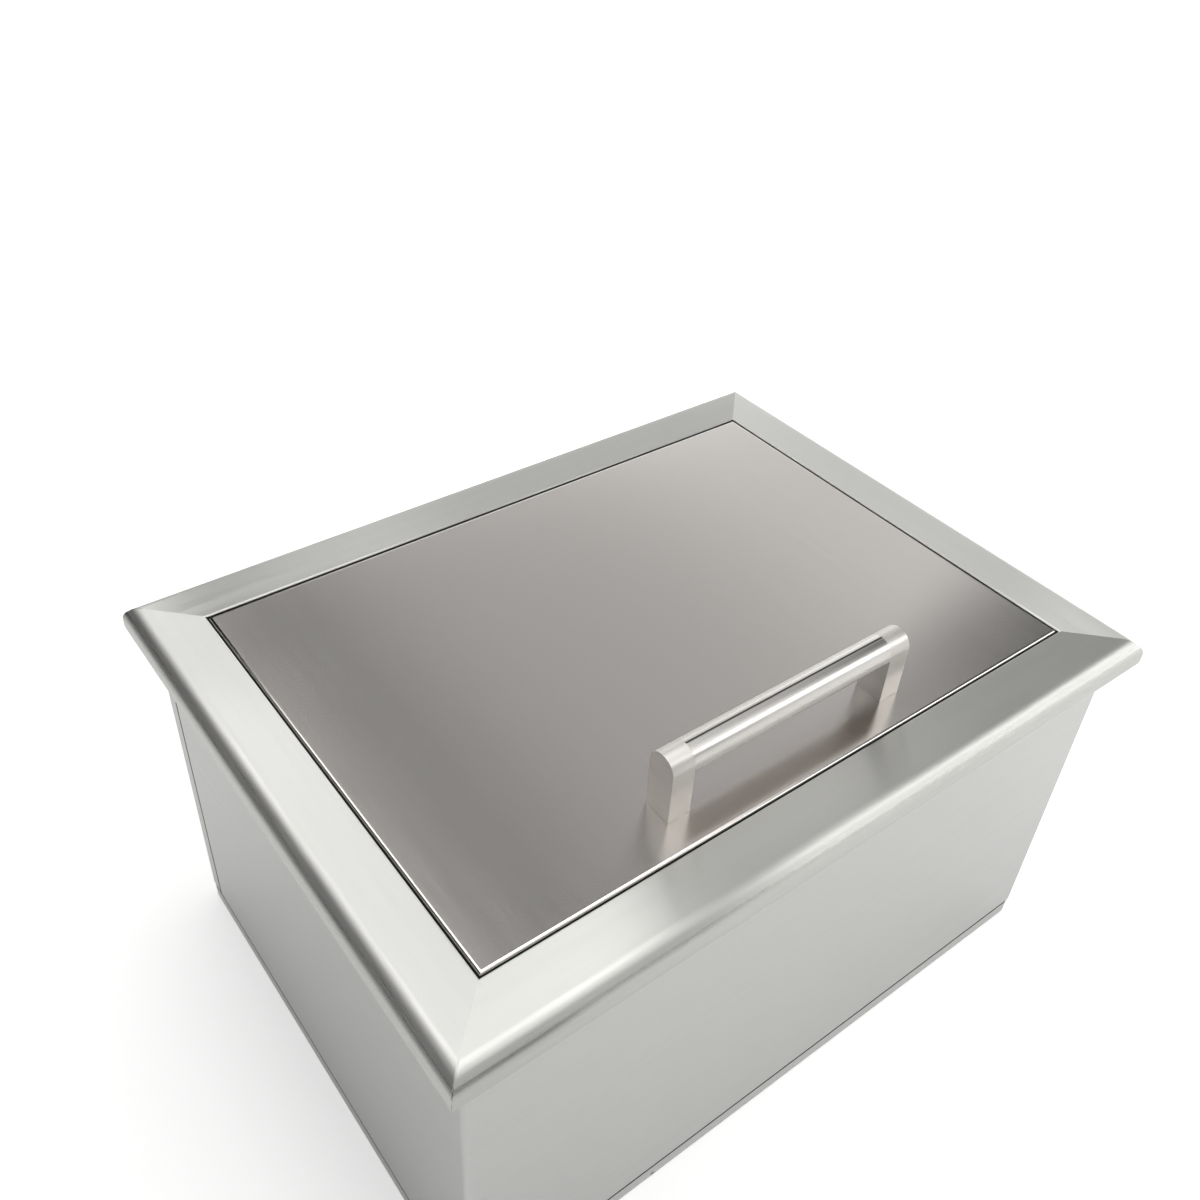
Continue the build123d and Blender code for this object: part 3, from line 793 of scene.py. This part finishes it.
@dataclass
class Rim:
    """Four folded strips, mitred and welded, that lie on the countertop."""

    strip: float = RIM_STRIP
    sheet: float = 1.2
    overhang: float = 15.0
    skirt: float = 34.0
    # The nose leans at 45 degrees between two soft bends
    nose_lean: float = 8.5
    nose_bend: float = 10.5
    nose_foot: float = 9.0
    bend: float = 1.3
    arc_steps: int = 14
    # The weld is ground flush on the flat; on the roll it leaves a hairline groove
    hairline: float = 0.35
    # Tells the nose's last point from the flat
    slack: float = 0.01
    # The leg at the mouth has its faces within this many sheets of the mouth, and these take the painted gap
    # shade
    leg_sheets: float = 1.5

    def section(self) -> list[Point2]:
        """Trace the folded sheet.

        Returns:
            The closed section: inwards from the outer face, and up from the rim's top.
        """
        t, foot, low = self.sheet, self.overhang, -TOP
        lean, inside = self.nose_lean, self.nose_lean + t * (math.sqrt(2) - 1)
        outer = [
            (self.strip, -self.skirt), (self.strip, 0), (lean, 0), (0, -lean), (0, low), (foot, low),
        ]
        inner = [
            (foot, low + t), (t, low + t), (t, -inside), (inside, -t), (self.strip - t, -t),
            (self.strip - t, -self.skirt),
        ]
        radii = [self.bend, self.nose_bend, self.nose_bend, self.nose_foot]
        path = rounded_path(outer, radii, self.arc_steps)
        return path + rounded_path(inner, [r - t for r in reversed(radii)], self.arc_steps)

    def make_strip(self, name: str, length: float, place: Matrix, look: Finish) -> Piece:
        """Build one strip with its mitred ends.

        Args:
            name: the strip's name.
            length: the outer length.
            place: local inward, up and lengthwise to the model's frame.
            look: the strip's finish.

        Returns:
            The strip.
        """
        section = self.section()
        outer = len(section) // 2
        nose = self.nose_lean + self.nose_bend * math.tan(math.pi / 8)
        loops = []
        for side, back in ((-1, 0.0), (-1, self.hairline), (1, self.hairline), (1, 0.0)):
            loop = []
            for i, (u, v) in enumerate(section):
                grooved = back == 0.0 and i < outer and u < nose - self.slack
                sunk = self.hairline if grooved else 0.0
                before, after = Vector(section[i - 1]), Vector(section[(i + 1) % len(section)])
                run = (after - before).normalized()
                along = side * (length / 2 - u - back)
                loop.append(tuple(place @ Vector((u - run.y * sunk, v + run.x * sunk, along))))
            loops.append(loop)
        mesh = bmesh.new()
        rows = join_loops(mesh, loops, False)
        mesh.faces.new(rows[0])
        mesh.faces.new(rows[-1][::-1])
        return finish_mesh(name, mesh, look)

    def build(self) -> None:
        """Build the four strips."""
        half_x, half_y = RIM_LENGTH / 2, RIM_WIDTH / 2
        leg = self.strip - self.leg_sheets * self.sheet
        for name, length, look, origin, inward, lengthwise in (
            ("rim_front", RIM_LENGTH, RIM_ALONG_X_SHADED, (0, -half_y), (0, 1), (1, 0)),
            ("rim_back", RIM_LENGTH, RIM_ALONG_X_SHADED, (0, half_y), (0, -1), (-1, 0)),
            ("rim_left", RIM_WIDTH, RIM_ALONG_Y_LIT, (-half_x, 0), (1, 0), (0, -1)),
            ("rim_right", RIM_WIDTH, RIM_ALONG_Y_LIT, (half_x, 0), (-1, 0), (0, 1)),
        ):
            place = Matrix((
                (inward[0], 0, lengthwise[0], origin[0]),
                (inward[1], 0, lengthwise[1], origin[1]),
                (0, 1, 0, TOP),
                (0, 0, 0, 1),
            ))
            strip = self.make_strip(f"{name}_strip", length, place, look)
            start, way = Vector(origin), Vector(inward)
            # Painted shade: the inner leg's faces below its bend, inside the lid's gap, are dark grey
            second_finish(strip, GAP_SHADE, lambda centre, _: (
                (centre.xy - start).dot(way) > leg and centre.z < TOP - GAP_SHADE_STARTS * self.bend
            ))
            ride(strip, "bin", "rim_steel", name)


@dataclass
class Shell:
    """The visible body: a wrap, a back panel and a pan, with black sealant in the seams that also paints
    their shade.
    """

    half_x: float = 290.0
    half_y: float = 215.0
    sheet: float = 1.0
    bend: float = 5.0
    top: float = 18.0
    seam: float = 2.4
    pan_flange: float = 15.0
    pan_corner: float = 8.0
    back_flange: float = 18.0
    seam_fill_back: float = 0.1
    seam_fill_edge: float = 0.3
    seam_fill_below_top: float = 4.0

    @property
    def low(self) -> float:
        """The lower edge of the wrap and the back, above the pan's seam."""
        return BOTTOM + self.pan_flange + self.seam

    @property
    def rear(self) -> float:
        """The rear edge of the wrap's sides, in front of the back's seam."""
        return self.half_y - self.back_flange - self.seam

    def wall(self, name: str, path: list[Point2]) -> Piece:
        """Stand a folded sheet up along a path in plan.

        Args:
            name: the piece's name.
            path: the four corners of the outer face.

        Returns:
            The wall.
        """
        t = self.sheet
        (x0, y0), (x1, y1), (x2, y2), (x3, y3) = path
        in_x, in_y = math.copysign(t, -x1), math.copysign(t, -y1)
        inside = [(x0 + in_x, y0), (x1 + in_x, y1 + in_y), (x2 - in_x, y2 + in_y), (x3 - in_x, y3)]
        outer = rounded_path(path, [self.bend] * 2)
        outline = outer + rounded_path(inside, [self.bend - t] * 2)[::-1]
        mesh = bmesh.new()
        levels = [[(x, y, z) for x, y in outline] for z in (self.low, self.top)]
        for row in join_loops(mesh, levels, False):
            for i in range(len(outer) - 1):
                mesh.faces.new((row[i], row[i + 1], row[-2 - i], row[-1 - i]))
        return finish_mesh(name, mesh, BODY_SATIN)

    def build(self) -> None:
        """Build the wrap, the back panel, the pan and the seams' sealant and painted shade."""
        x, y, rear, front = self.half_x, self.half_y, self.rear, self.half_y - self.back_flange
        wrap = self.wall("shell_wrap", [(-x, rear), (-x, -y), (x, -y), (x, rear)])
        second_finish(wrap, BODY_SIDE_SATIN, lambda _, normal: abs(normal.x) > abs(normal.y))
        ride(wrap, "bin", "body_steel", "outer_wrap")
        back = self.wall("shell_back", [(x, front), (x, y), (-x, y), (-x, front)])
        ride(back, "bin", "body_steel", "back_panel")
        smooth_copy("bottom_pan", "bin", "body_steel", BODY_SATIN)
        self.fill_seams()

    def fill_seams(self) -> None:
        """Fill the seams with black sealant, which paints the shade of their gaps and lies a little behind
        the sheets' faces.
        """
        seam, edge = self.seam, self.seam_fill_edge
        inset = self.seam_fill_back + seam / 2
        x, y, level = self.half_x - inset, self.half_y - inset, self.low - seam / 2
        ring = [(-x, -y, level), (x, -y, level), (x, y, level), (-x, y, level), (-x, -y, level)]
        bead = PressedStrip("seam_ring_sealant", seam, seam, edge, self.pan_corner)
        ride(bead.build([ring], SEALANT_AND_SHADE), "bin", "soft_strip")
        middle, high = self.rear + seam / 2, self.top - self.seam_fill_below_top
        sides = [[(side * x, middle, z) for z in (self.low, high)] for side in (-1, 1)]
        bead = PressedStrip("seam_side_sealant", seam, seam, edge, 0.0)
        ride(bead.build(sides, SEALANT_AND_SHADE), "bin", "soft_strip")


@dataclass
class Liner:
    """The tub with its coved edges and drain dish, the foam round it and the lid's rests."""

    flange: float = 18.0
    sheet: float = 1.0
    level: float = -6.0
    floor: float = -270.0
    corner: float = 12.0
    cove: float = 10.0
    floor_run: float = 60.0
    dish_run: float = 30.0
    dish_radius: float = 42.0
    dish_depth: float = 5.0
    dish_bend: float = 1.5
    hole: float = 17.0
    strip_width: float = 8.0
    strip_height: float = 3.0
    strip_edge: float = 1.2
    strip_corner: float = 4.5
    strip_setback: float = 2.0
    strip_level: float = 2.7
    strip_end: float = 128.6
    corner_steps: int = 8
    dish_steps: int = 5

    def build(self) -> None:
        """Build the tub and dress the foam and the rests."""
        ride(self.tub(), "bin", "liner_steel", "inner_tub")
        for side in ("front", "back", "left", "right", "bottom"):
            dress_node(f"foam_{side}", FOAM)
        for side in ("front", "left", "right"):
            dress_node(f"lid_rest_{side}", LINER_SATIN)
        inset = self.strip_setback + self.strip_width / 2
        x, y, level = OPEN_X - inset, OPEN_Y - inset, self.strip_level + self.strip_height / 2
        path = [(-x, self.strip_end), (-x, -y), (x, -y), (x, self.strip_end)]
        strip = PressedStrip(
            "rest_sponge_strip", self.strip_width, self.strip_height, self.strip_edge, self.strip_corner,
        ).build([[(*point, level) for point in path]], SPONGE)
        ride(strip, "bin", "soft_strip", "lid_rest_strip")

    def frames(self, path: list[Point2]) -> list[Loop]:
        """Set a level frame at each point of a path.

        Args:
            path: how far in from the opening each frame is, and its height.

        Returns:
            The frames.
        """
        return [
            frame_loop(OPEN_X - u, OPEN_Y - u, max(self.corner - u, 0.0), z, self.corner_steps)
            for u, z in path
        ]

    def tub(self) -> Piece:
        """Sweep the tub from its flange to its drain hole and back outside.

        Returns:
            The tub.
        """
        t, floor, run, r, hole = self.sheet, self.floor, self.floor_run, self.dish_radius, self.hole
        dish, out = floor - self.dish_depth, r + self.dish_run
        bends = [self.dish_bend + t, self.dish_bend]
        inner = rounded_path([(0, self.level), (0, floor), (run, floor)], [self.cove])
        outer = rounded_path([(run, floor - t), (-t, floor - t), (-t, self.level - t)], [self.cove + t])
        dish_in = [(out, floor), (r, floor), (r, dish), (hole, dish)]
        dish_out = [(hole, dish - t), (r + t, dish - t), (r + t, floor - t), (out, floor - t)]
        rings = [
            ring_loop(radius, z, self.corner_steps)
            for path in (dish_in, dish_out)
            for radius, z in rounded_path(path, bends, self.dish_steps)
        ]
        edge = [
            frame_loop(OPEN_X + self.flange, OPEN_Y + self.flange, 0, z, self.corner_steps)
            for z in (self.level - t, self.level)
        ]
        mesh = bmesh.new()
        join_loops(mesh, self.frames(inner) + rings + self.frames(outer) + edge, True)
        return finish_mesh("liner_tub", mesh, LINER_SATIN)


@dataclass
class Lid:
    """The flush lid: a folded top skin over foam, with a tray below."""

    # The gap is 1.8 mm at the back, where the edge swings, and 1.2 mm at the other sides
    half_x: float = OPEN_X - 1.2
    half_y: float = OPEN_Y - 1.5
    forward: float = 0.3
    thickness: float = 22.0
    sheet: float = 1.0
    bend: float = 2.8

    def build(self) -> None:
        """Build the skin and dress the tray and the core."""
        t, under, flat = self.sheet, TOP - self.thickness, 2 * self.bend
        outer = rounded_path([(0, under), (0, TOP), (flat, TOP)], [self.bend])
        inner = rounded_path([(flat, TOP - t), (t, TOP - t), (t, under)], [self.bend - t])
        loops = [frame_loop(self.half_x - u, self.half_y - u, 0, z, 1) for u, z in inner[1:] + outer[:-1]]
        mesh = bmesh.new()
        rows = join_loops(mesh, loops, False)
        mesh.faces.new(rows[0])
        mesh.faces.new(rows[-1])
        bmesh.ops.translate(mesh, vec=(0, -self.forward, 0), verts=mesh.verts)
        skin = finish_mesh("lid_skin", mesh, LID_SATIN)
        gap_shade_top = TOP - GAP_SHADE_STARTS * self.bend
        # Painted shade: the skin's sides below its bend, inside the gap, are dark grey
        second_finish(skin, GAP_SHADE, lambda centre, _: centre.z < gap_shade_top)
        ride(skin, "lid", "lid_steel", "lid_top_skin")
        dress_node("lid_bottom_tray", LINER_SATIN)
        dress_node("lid_foam", FOAM)


@dataclass
class Handle:
    """Two posts with a bar between them, all with the same arched section."""

    length: float = 210.0
    depth: float = 22.2
    height: float = 51.6
    post: float = 18.0
    finger_gap: float = 35.0
    centre_y: float = -147.9
    bar_edge: float = 3.0
    seam_width: float = 1.4
    seam_depth: float = 0.6
    end_edge: float = 0.35
    # A little under half the depth, so that the crown's two arcs meet and don't cross
    crown_share: float = 0.4999
    # The seam's cutter is this many times as long as the bar
    cutter_reach: float = 1.2
    # The groove's painted shade starts slightly outside its sides and its foot
    groove_side: float = 1.02
    groove_foot: float = 1.1

    def arched(self, name: str, start: float, end: float, low: float, foot_edge: float,
               look: Finish) -> Piece:
        """Draw the arched section along X: a rectangle whose two upper corners meet.

        Args:
            name: the piece's name.
            start: where it begins in X.
            end: where it ends in X.
            low: its lower face's height.
            foot_edge: the radius of its lower edges: zero on a post, whose ends are eased, and
                more on the bar, which has the fine seam.
            look: its finish.

        Returns:
            The piece.
        """
        top = TOP + self.height
        tree = ShapeTree(name, look, {
            "Start": start, "End": end, "Middle": self.centre_y, "Level": (top + low) / 2, "Top": top,
            "Rise": top - low, "Depth": self.depth, "Foot Edge": foot_edge,
            "Crown Edge": self.crown_share * self.depth, "Seam Width": self.seam_width,
            "Cutter Length": self.cutter_reach * (end - start), "Cutter Height": 2 * self.seam_depth,
        })
        given = tree.given
        flat = tree.add(
            "CurvePrimitiveQuadrilateral", links={"Width": given["Depth"], "Height": given["Rise"]}
        )
        place = tree.add("InputPosition")
        split = tree.add("ShaderNodeSeparateXYZ", links={0: place})
        # The section's own Y runs down once it stands on the line
        upper = tree.add(
            "FunctionNodeCompare", {".data_type": "FLOAT", ".operation": "LESS_THAN", 1: 0.0},
            {0: split.outputs["Y"]},
        )
        radius = tree.add(
            "Switch", {".input_type": "FLOAT"},
            {"Switch": upper, "False": given["Foot Edge"], "True": given["Crown Edge"]},
        )
        section = tree.add(
            "FilletCurve", {".mode": "POLY", "Count": 24, "Limit Radius": True},
            {"Curve": flat, "Radius": radius},
        )
        ends = {
            label: tree.add(
                "ShaderNodeCombineXYZ", links={"X": given[label], "Y": given["Middle"], "Z": given["Level"]}
            ) for label in ("Start", "End")
        }
        line = tree.add("CurvePrimitiveLine", links=ends)
        upright = tree.add("SetCurveNormal", {".mode": "Z_UP"}, {"Curve": line})
        drawn = tree.add("CurveToMesh", {"Fill Caps": True}, {"Curve": upright, "Profile Curve": section})
        if foot_edge:
            return tree.finish(self.cut_seam(tree, drawn))
        return tree.finish(drawn, edge=self.end_edge)

    def cut_seam(self, tree: ShapeTree, drawn: Source) -> Source:
        """Cut the fine seam along the crown.

        Args:
            tree: the tree that draws the bar.
            drawn: the bar's geometry.

        Returns:
            The bar's geometry with its seam.
        """
        given = tree.given
        size = tree.add("ShaderNodeCombineXYZ", links={
            "X": given["Cutter Length"], "Y": given["Seam Width"], "Z": given["Cutter Height"],
        })
        cutter = tree.add("MeshCube", links={"Size": size})
        crown = tree.add("ShaderNodeCombineXYZ", links={"Y": given["Middle"], "Z": given["Top"]})
        placed = tree.add("Transform", links={"Geometry": cutter, "Translation": crown})
        return tree.add("MeshBoolean", {".operation": "DIFFERENCE"}, {0: drawn, 1: placed})

    def build(self) -> None:
        """Build both posts and the bar and stand in for the screws and washers."""
        half, inner = self.length / 2, self.length / 2 - self.post
        for side, start, end in (("left", -half, -inner), ("right", inner, half)):
            post = self.arched(f"handle_{side}_post", start, end, TOP, 0.0, POST_SATIN)
            ride(post, "lid", "handle_steel", f"handle_post_{side}")
        low = TOP + self.finger_gap
        grip = self.arched("handle_grip", -inner, inner, low, self.bar_edge, HANDLE_SATIN)
        reach = self.groove_side * self.seam_width / 2
        foot = TOP + self.height - self.groove_foot * self.seam_depth
        # Painted shade: the seam groove along the crown is dark grey
        second_finish(grip, GAP_SHADE, lambda centre, _: (
            abs(centre.y - self.centre_y) < reach and centre.z > foot
        ))
        ride(grip, "lid", "handle_steel", "handle_bar")
        for node in ("handle_screws", "handle_washers"):
            smooth_copy(node, "lid", "zinc_steel", FASTENER_STEEL)


@dataclass
class Hinge:
    """Pins and stops in blocks on the bin, bushes in plates on the lid."""

    fixed: tuple[str, ...] = ("hinge_boss", "hinge_pin", "lid_stop_pin")

    def build(self) -> None:
        """Stand smooth copies in for both sides."""
        for side in ("left", "right"):
            for part in self.fixed:
                smooth_copy(f"{part}_{side}", "bin", "hinge_steel", HINGE_DARK_AND_SHADE)
            smooth_copy(f"lid_hinge_plate_{side}", "lid", "hinge_steel", HINGE_DARK_AND_SHADE)
            smooth_copy(f"hinge_bush_{side}", "lid", "nylon", NYLON)


@dataclass
class Drain:
    """The flanged drain, its clamp and its strainer."""

    bore: float = 9.3
    thread_turns: float = 7.0
    thread_rise: float = 12.6
    thread_low: float = -301.0
    ridge: float = 0.5
    hole: float = 1.8
    lip: float = 0.22
    strainer_top: float = -270.5
    # Each ring's number of holes and its radius
    rings: tuple[tuple[int, float], ...] = ((6, 5.8), (12, 11.0))

    def build(self) -> None:
        """Stand copies in for the turned pieces, and add the thread and the holes' lips."""
        smooth_copy("drain_body", "bin", "drain_steel", DRAIN_STEEL)
        smooth_copy("drain_strainer", "strainer", "drain_steel", DRAIN_STEEL)
        for node in ("drain_washer", "drain_locknut"):
            smooth_copy(node, "bin", "zinc_steel", FASTENER_STEEL)
        smooth_copy("drain_gasket", "bin", "soft_strip", SPONGE)
        ride(self.thread(), "bin", "drain_steel")
        ride(self.lips(), "strainer", "drain_steel")

    def thread(self) -> Piece:
        """Wind the outlet's thread ridge up its bore.

        Returns:
            The thread.
        """
        tree = ShapeTree("outlet_thread", DRAIN_STEEL, {
            "Bore": self.bore, "Rise": self.thread_rise, "Low": self.thread_low, "Ridge": self.ridge,
        }, {"Turns": self.thread_turns})
        given = tree.given
        wound = tree.add("CurveSpiral", {"Resolution": 40}, {
            "Rotations": given["Turns"], "Start Radius": given["Bore"],
            "End Radius": given["Bore"], "Height": given["Rise"],
        })
        section = tree.add(
            "CurvePrimitiveCircle", {".mode": "RADIUS", "Resolution": 4}, {"Radius": given["Ridge"]},
        )
        ridge = tree.add("CurveToMesh", {"Fill Caps": True}, {"Curve": wound, "Profile Curve": section})
        low = tree.add("ShaderNodeCombineXYZ", links={"Z": given["Low"]})
        return tree.finish(tree.add("Transform", links={"Geometry": ridge, "Translation": low}))

    def lips(self) -> Piece:
        """Set a rounded lip round each pressed hole of the strainer.

        Returns:
            The lips.
        """
        lengths = {"Hole": self.hole, "Lip": self.lip, "Level": self.strainer_top}
        lengths |= {f"Ring {i}": radius for i, (_, radius) in enumerate(self.rings)}
        counts = {f"Holes {i}": count for i, (count, _) in enumerate(self.rings)}
        tree = ShapeTree("strainer_lips", DRAIN_STEEL, lengths, counts)
        given = tree.given
        circle, wire = (
            tree.add(
                "CurvePrimitiveCircle", {".mode": "RADIUS", "Resolution": points}, {"Radius": given[label]},
            ) for label, points in (("Hole", 20), ("Lip", 6))
        )
        lip = tree.add("CurveToMesh", links={"Curve": circle, "Profile Curve": wire})
        level = tree.add("ShaderNodeCombineXYZ", links={"Z": given["Level"]})
        joined = tree.add("JoinGeometry")
        for i in range(len(self.rings)):
            ring = tree.add(
                "MeshCircle", links={"Vertices": given[f"Holes {i}"], "Radius": given[f"Ring {i}"]},
            )
            placed = tree.add("Transform", links={"Geometry": ring, "Translation": level})
            set_out = tree.add("InstanceOnPoints", links={"Points": placed, "Instance": lip})
            tree.tree.links.new(set_out.outputs[0], joined.inputs[0])
        return tree.finish(joined)


@dataclass(frozen=True)
class SoftLamp:
    """A level softbox over the bin, in metres; at level 1 its cloth is paper white."""

    name: str
    x_range: Point2
    y_range: Point2
    level: float
    height: float = 1.4

    def hang(self) -> None:
        """Hang the lamp with its cloth facing down."""
        (x0, x1), (y0, y1) = self.x_range, self.y_range
        data = bpy.data.lights.new(self.name, "AREA")
        data.shape = "RECTANGLE"
        data.size, data.size_y = x1 - x0, y1 - y0
        data.energy = math.pi * data.size * data.size_y * self.level
        lamp = bpy.data.objects.new(self.name, data)
        lamp.location = ((x0 + x1) / 2, (y0 + y1) / 2, self.height)
        lamp.visible_camera = False
        bpy.context.scene.collection.objects.link(lamp)
        LOG.info("softbox %s hangs at level %.2f", self.name, self.level)


@dataclass
class Studio:
    """The pale floor, the softboxes, the cloths, the white surround and the camera."""

    # The camera was solved from the photograph's edges, which are 1200 pixels a side
    camera_mm: Point3 = (-455.8, -506.9, 603.3)
    forward: Point3 = (0.48992, 0.60660, -0.62612)
    right: Point3 = (0.79909, -0.59957, 0.04439)
    focal_px: float = 1203.1
    centre_px: Point2 = (592.65, 591.01)
    frame_px: float = 1200.0
    sensor_mm: float = 36.0
    floor_half: float = 20000.0
    floor_gap: float = 0.5
    lamps: tuple[SoftLamp, ...] = (
        SoftLamp("over_middle", (-0.35, 0.5), (-0.5, 0.375), 3.2),
        SoftLamp("over_front", (-0.75, 0.5), (-2.2, -0.5), 1.2),
        SoftLamp("left_middle", (-0.75, -0.35), (-0.5, 0.375), 1.7),
        SoftLamp("left_back", (-0.75, 0.0), (0.375, 1.5), 2.8),
        SoftLamp("left_far", (-0.75, 0.0), (1.5, 2.2), 2.05),
        SoftLamp("dim_middle", (0.5, 1.5), (0.375, 2.2), 0.49),
        SoftLamp("dim_right", (1.5, 3.4), (0.8, 2.2), 0.86),
        SoftLamp("dim_front", (0.5, 1.1), (-2.2, -0.5), 1.0),
        SoftLamp("over_right", (0.5, 1.1), (-0.5, 0.375), 0.5),
        SoftLamp("far_back", (0.5, 3.4), (2.2, 3.4), 2.2),
        SoftLamp("right_front", (1.1, 3.4), (-2.2, -1.2), 4.2),
    )
    # Black cloth overhead and at three sides leaves the right open; two corners, in metres
    cloths: tuple[tuple[str, Point3, Point3], ...] = (
        ("cloth_over", (-8.0, -8.0, 1.45), (3.4, 8.0, 1.45)),
        ("cloth_left", (-3.4, -3.4, -0.3), (-3.4, 3.4, 1.45)),
        ("cloth_back", (-3.4, 3.4, -0.3), (0.3, 3.4, 1.45)),
        ("cloth_front", (-3.4, -3.4, -0.3), (0.9, -3.4, 1.45)),
    )

    def build(self) -> None:
        """Build the camera, the floor, the surround, the cloths and the lamps."""
        self.camera()
        self.floor()
        self.surround()
        self.hang_cloths()
        for lamp in self.lamps:
            lamp.hang()

    def camera(self) -> None:
        """Place the camera where the photograph was taken from."""
        data = bpy.data.cameras.new("photo_camera")
        data.sensor_width = self.sensor_mm
        data.lens = self.sensor_mm * self.focal_px / self.frame_px
        data.shift_x = (self.frame_px / 2 - self.centre_px[0]) / self.frame_px
        data.shift_y = (self.centre_px[1] - self.frame_px / 2) / self.frame_px
        data.clip_start = 0.01
        forward = Vector(self.forward).normalized()
        right = Vector(self.right)
        right = (right - forward * right.dot(forward)).normalized()
        up = right.cross(forward)
        camera = bpy.data.objects.new("photo_camera", data)
        turn = Matrix((right, up, -forward)).transposed().to_4x4()
        camera.matrix_world = Matrix.Translation(Vector(self.camera_mm) * MM) @ turn
        bpy.context.scene.collection.objects.link(camera)
        bpy.context.scene.camera = camera

    def floor(self) -> None:
        """Lay white paper under the bin."""
        mesh = bmesh.new()
        bmesh.ops.create_grid(mesh, x_segments=1, y_segments=1, size=self.floor_half)
        bmesh.ops.translate(mesh, vec=(0, 0, BOTTOM - self.floor_gap), verts=mesh.verts)
        finish_mesh("floor", mesh, PAPER)

    def hang_cloths(self) -> None:
        """Hang the black cloths, so that the steel has a dark room to mirror.

        The camera looks through them.
        """
        for name, (x0, y0, z0), (x1, y1, z1) in self.cloths:
            if z0 == z1:
                corners = [(x0, y0, z0), (x1, y0, z0), (x1, y1, z0), (x0, y1, z0)]
            else:
                corners = [(x0, y0, z0), (x1, y1, z0), (x1, y1, z1), (x0, y0, z1)]
            mesh = bmesh.new()
            mesh.faces.new([mesh.verts.new(corner) for corner in corners])
            cloth = finish_mesh(name, mesh, VELVET, unit=1.0)
            cloth.visible_camera = False

    def surround(self) -> None:
        """Surround everything with plain white, which lights the bin from the open right side."""
        world = bpy.data.worlds.new("studio")
        bpy.context.scene.world = world
        world.use_nodes = True
        tree = Bench(world.node_tree, "ShaderNode")
        white = tree.add("Background", {"Color": srgb("#FFFFFF"), "Strength": 1.0})
        tree.add("OutputWorld", links={0: white})


def main() -> None:
    """Build the studio and every sub-assembly in order."""
    logging.basicConfig(level=logging.INFO, format="%(name)s: %(message)s")
    bpy.context.scene.view_settings.view_transform = "Standard"
    for part in (Studio(), Rim(), Shell(), Liner(), Lid(), Handle(), Hinge(), Drain()):
        LOG.info("building %s", type(part).__name__)
        part.build()


if __name__ == "__main__":
    main()
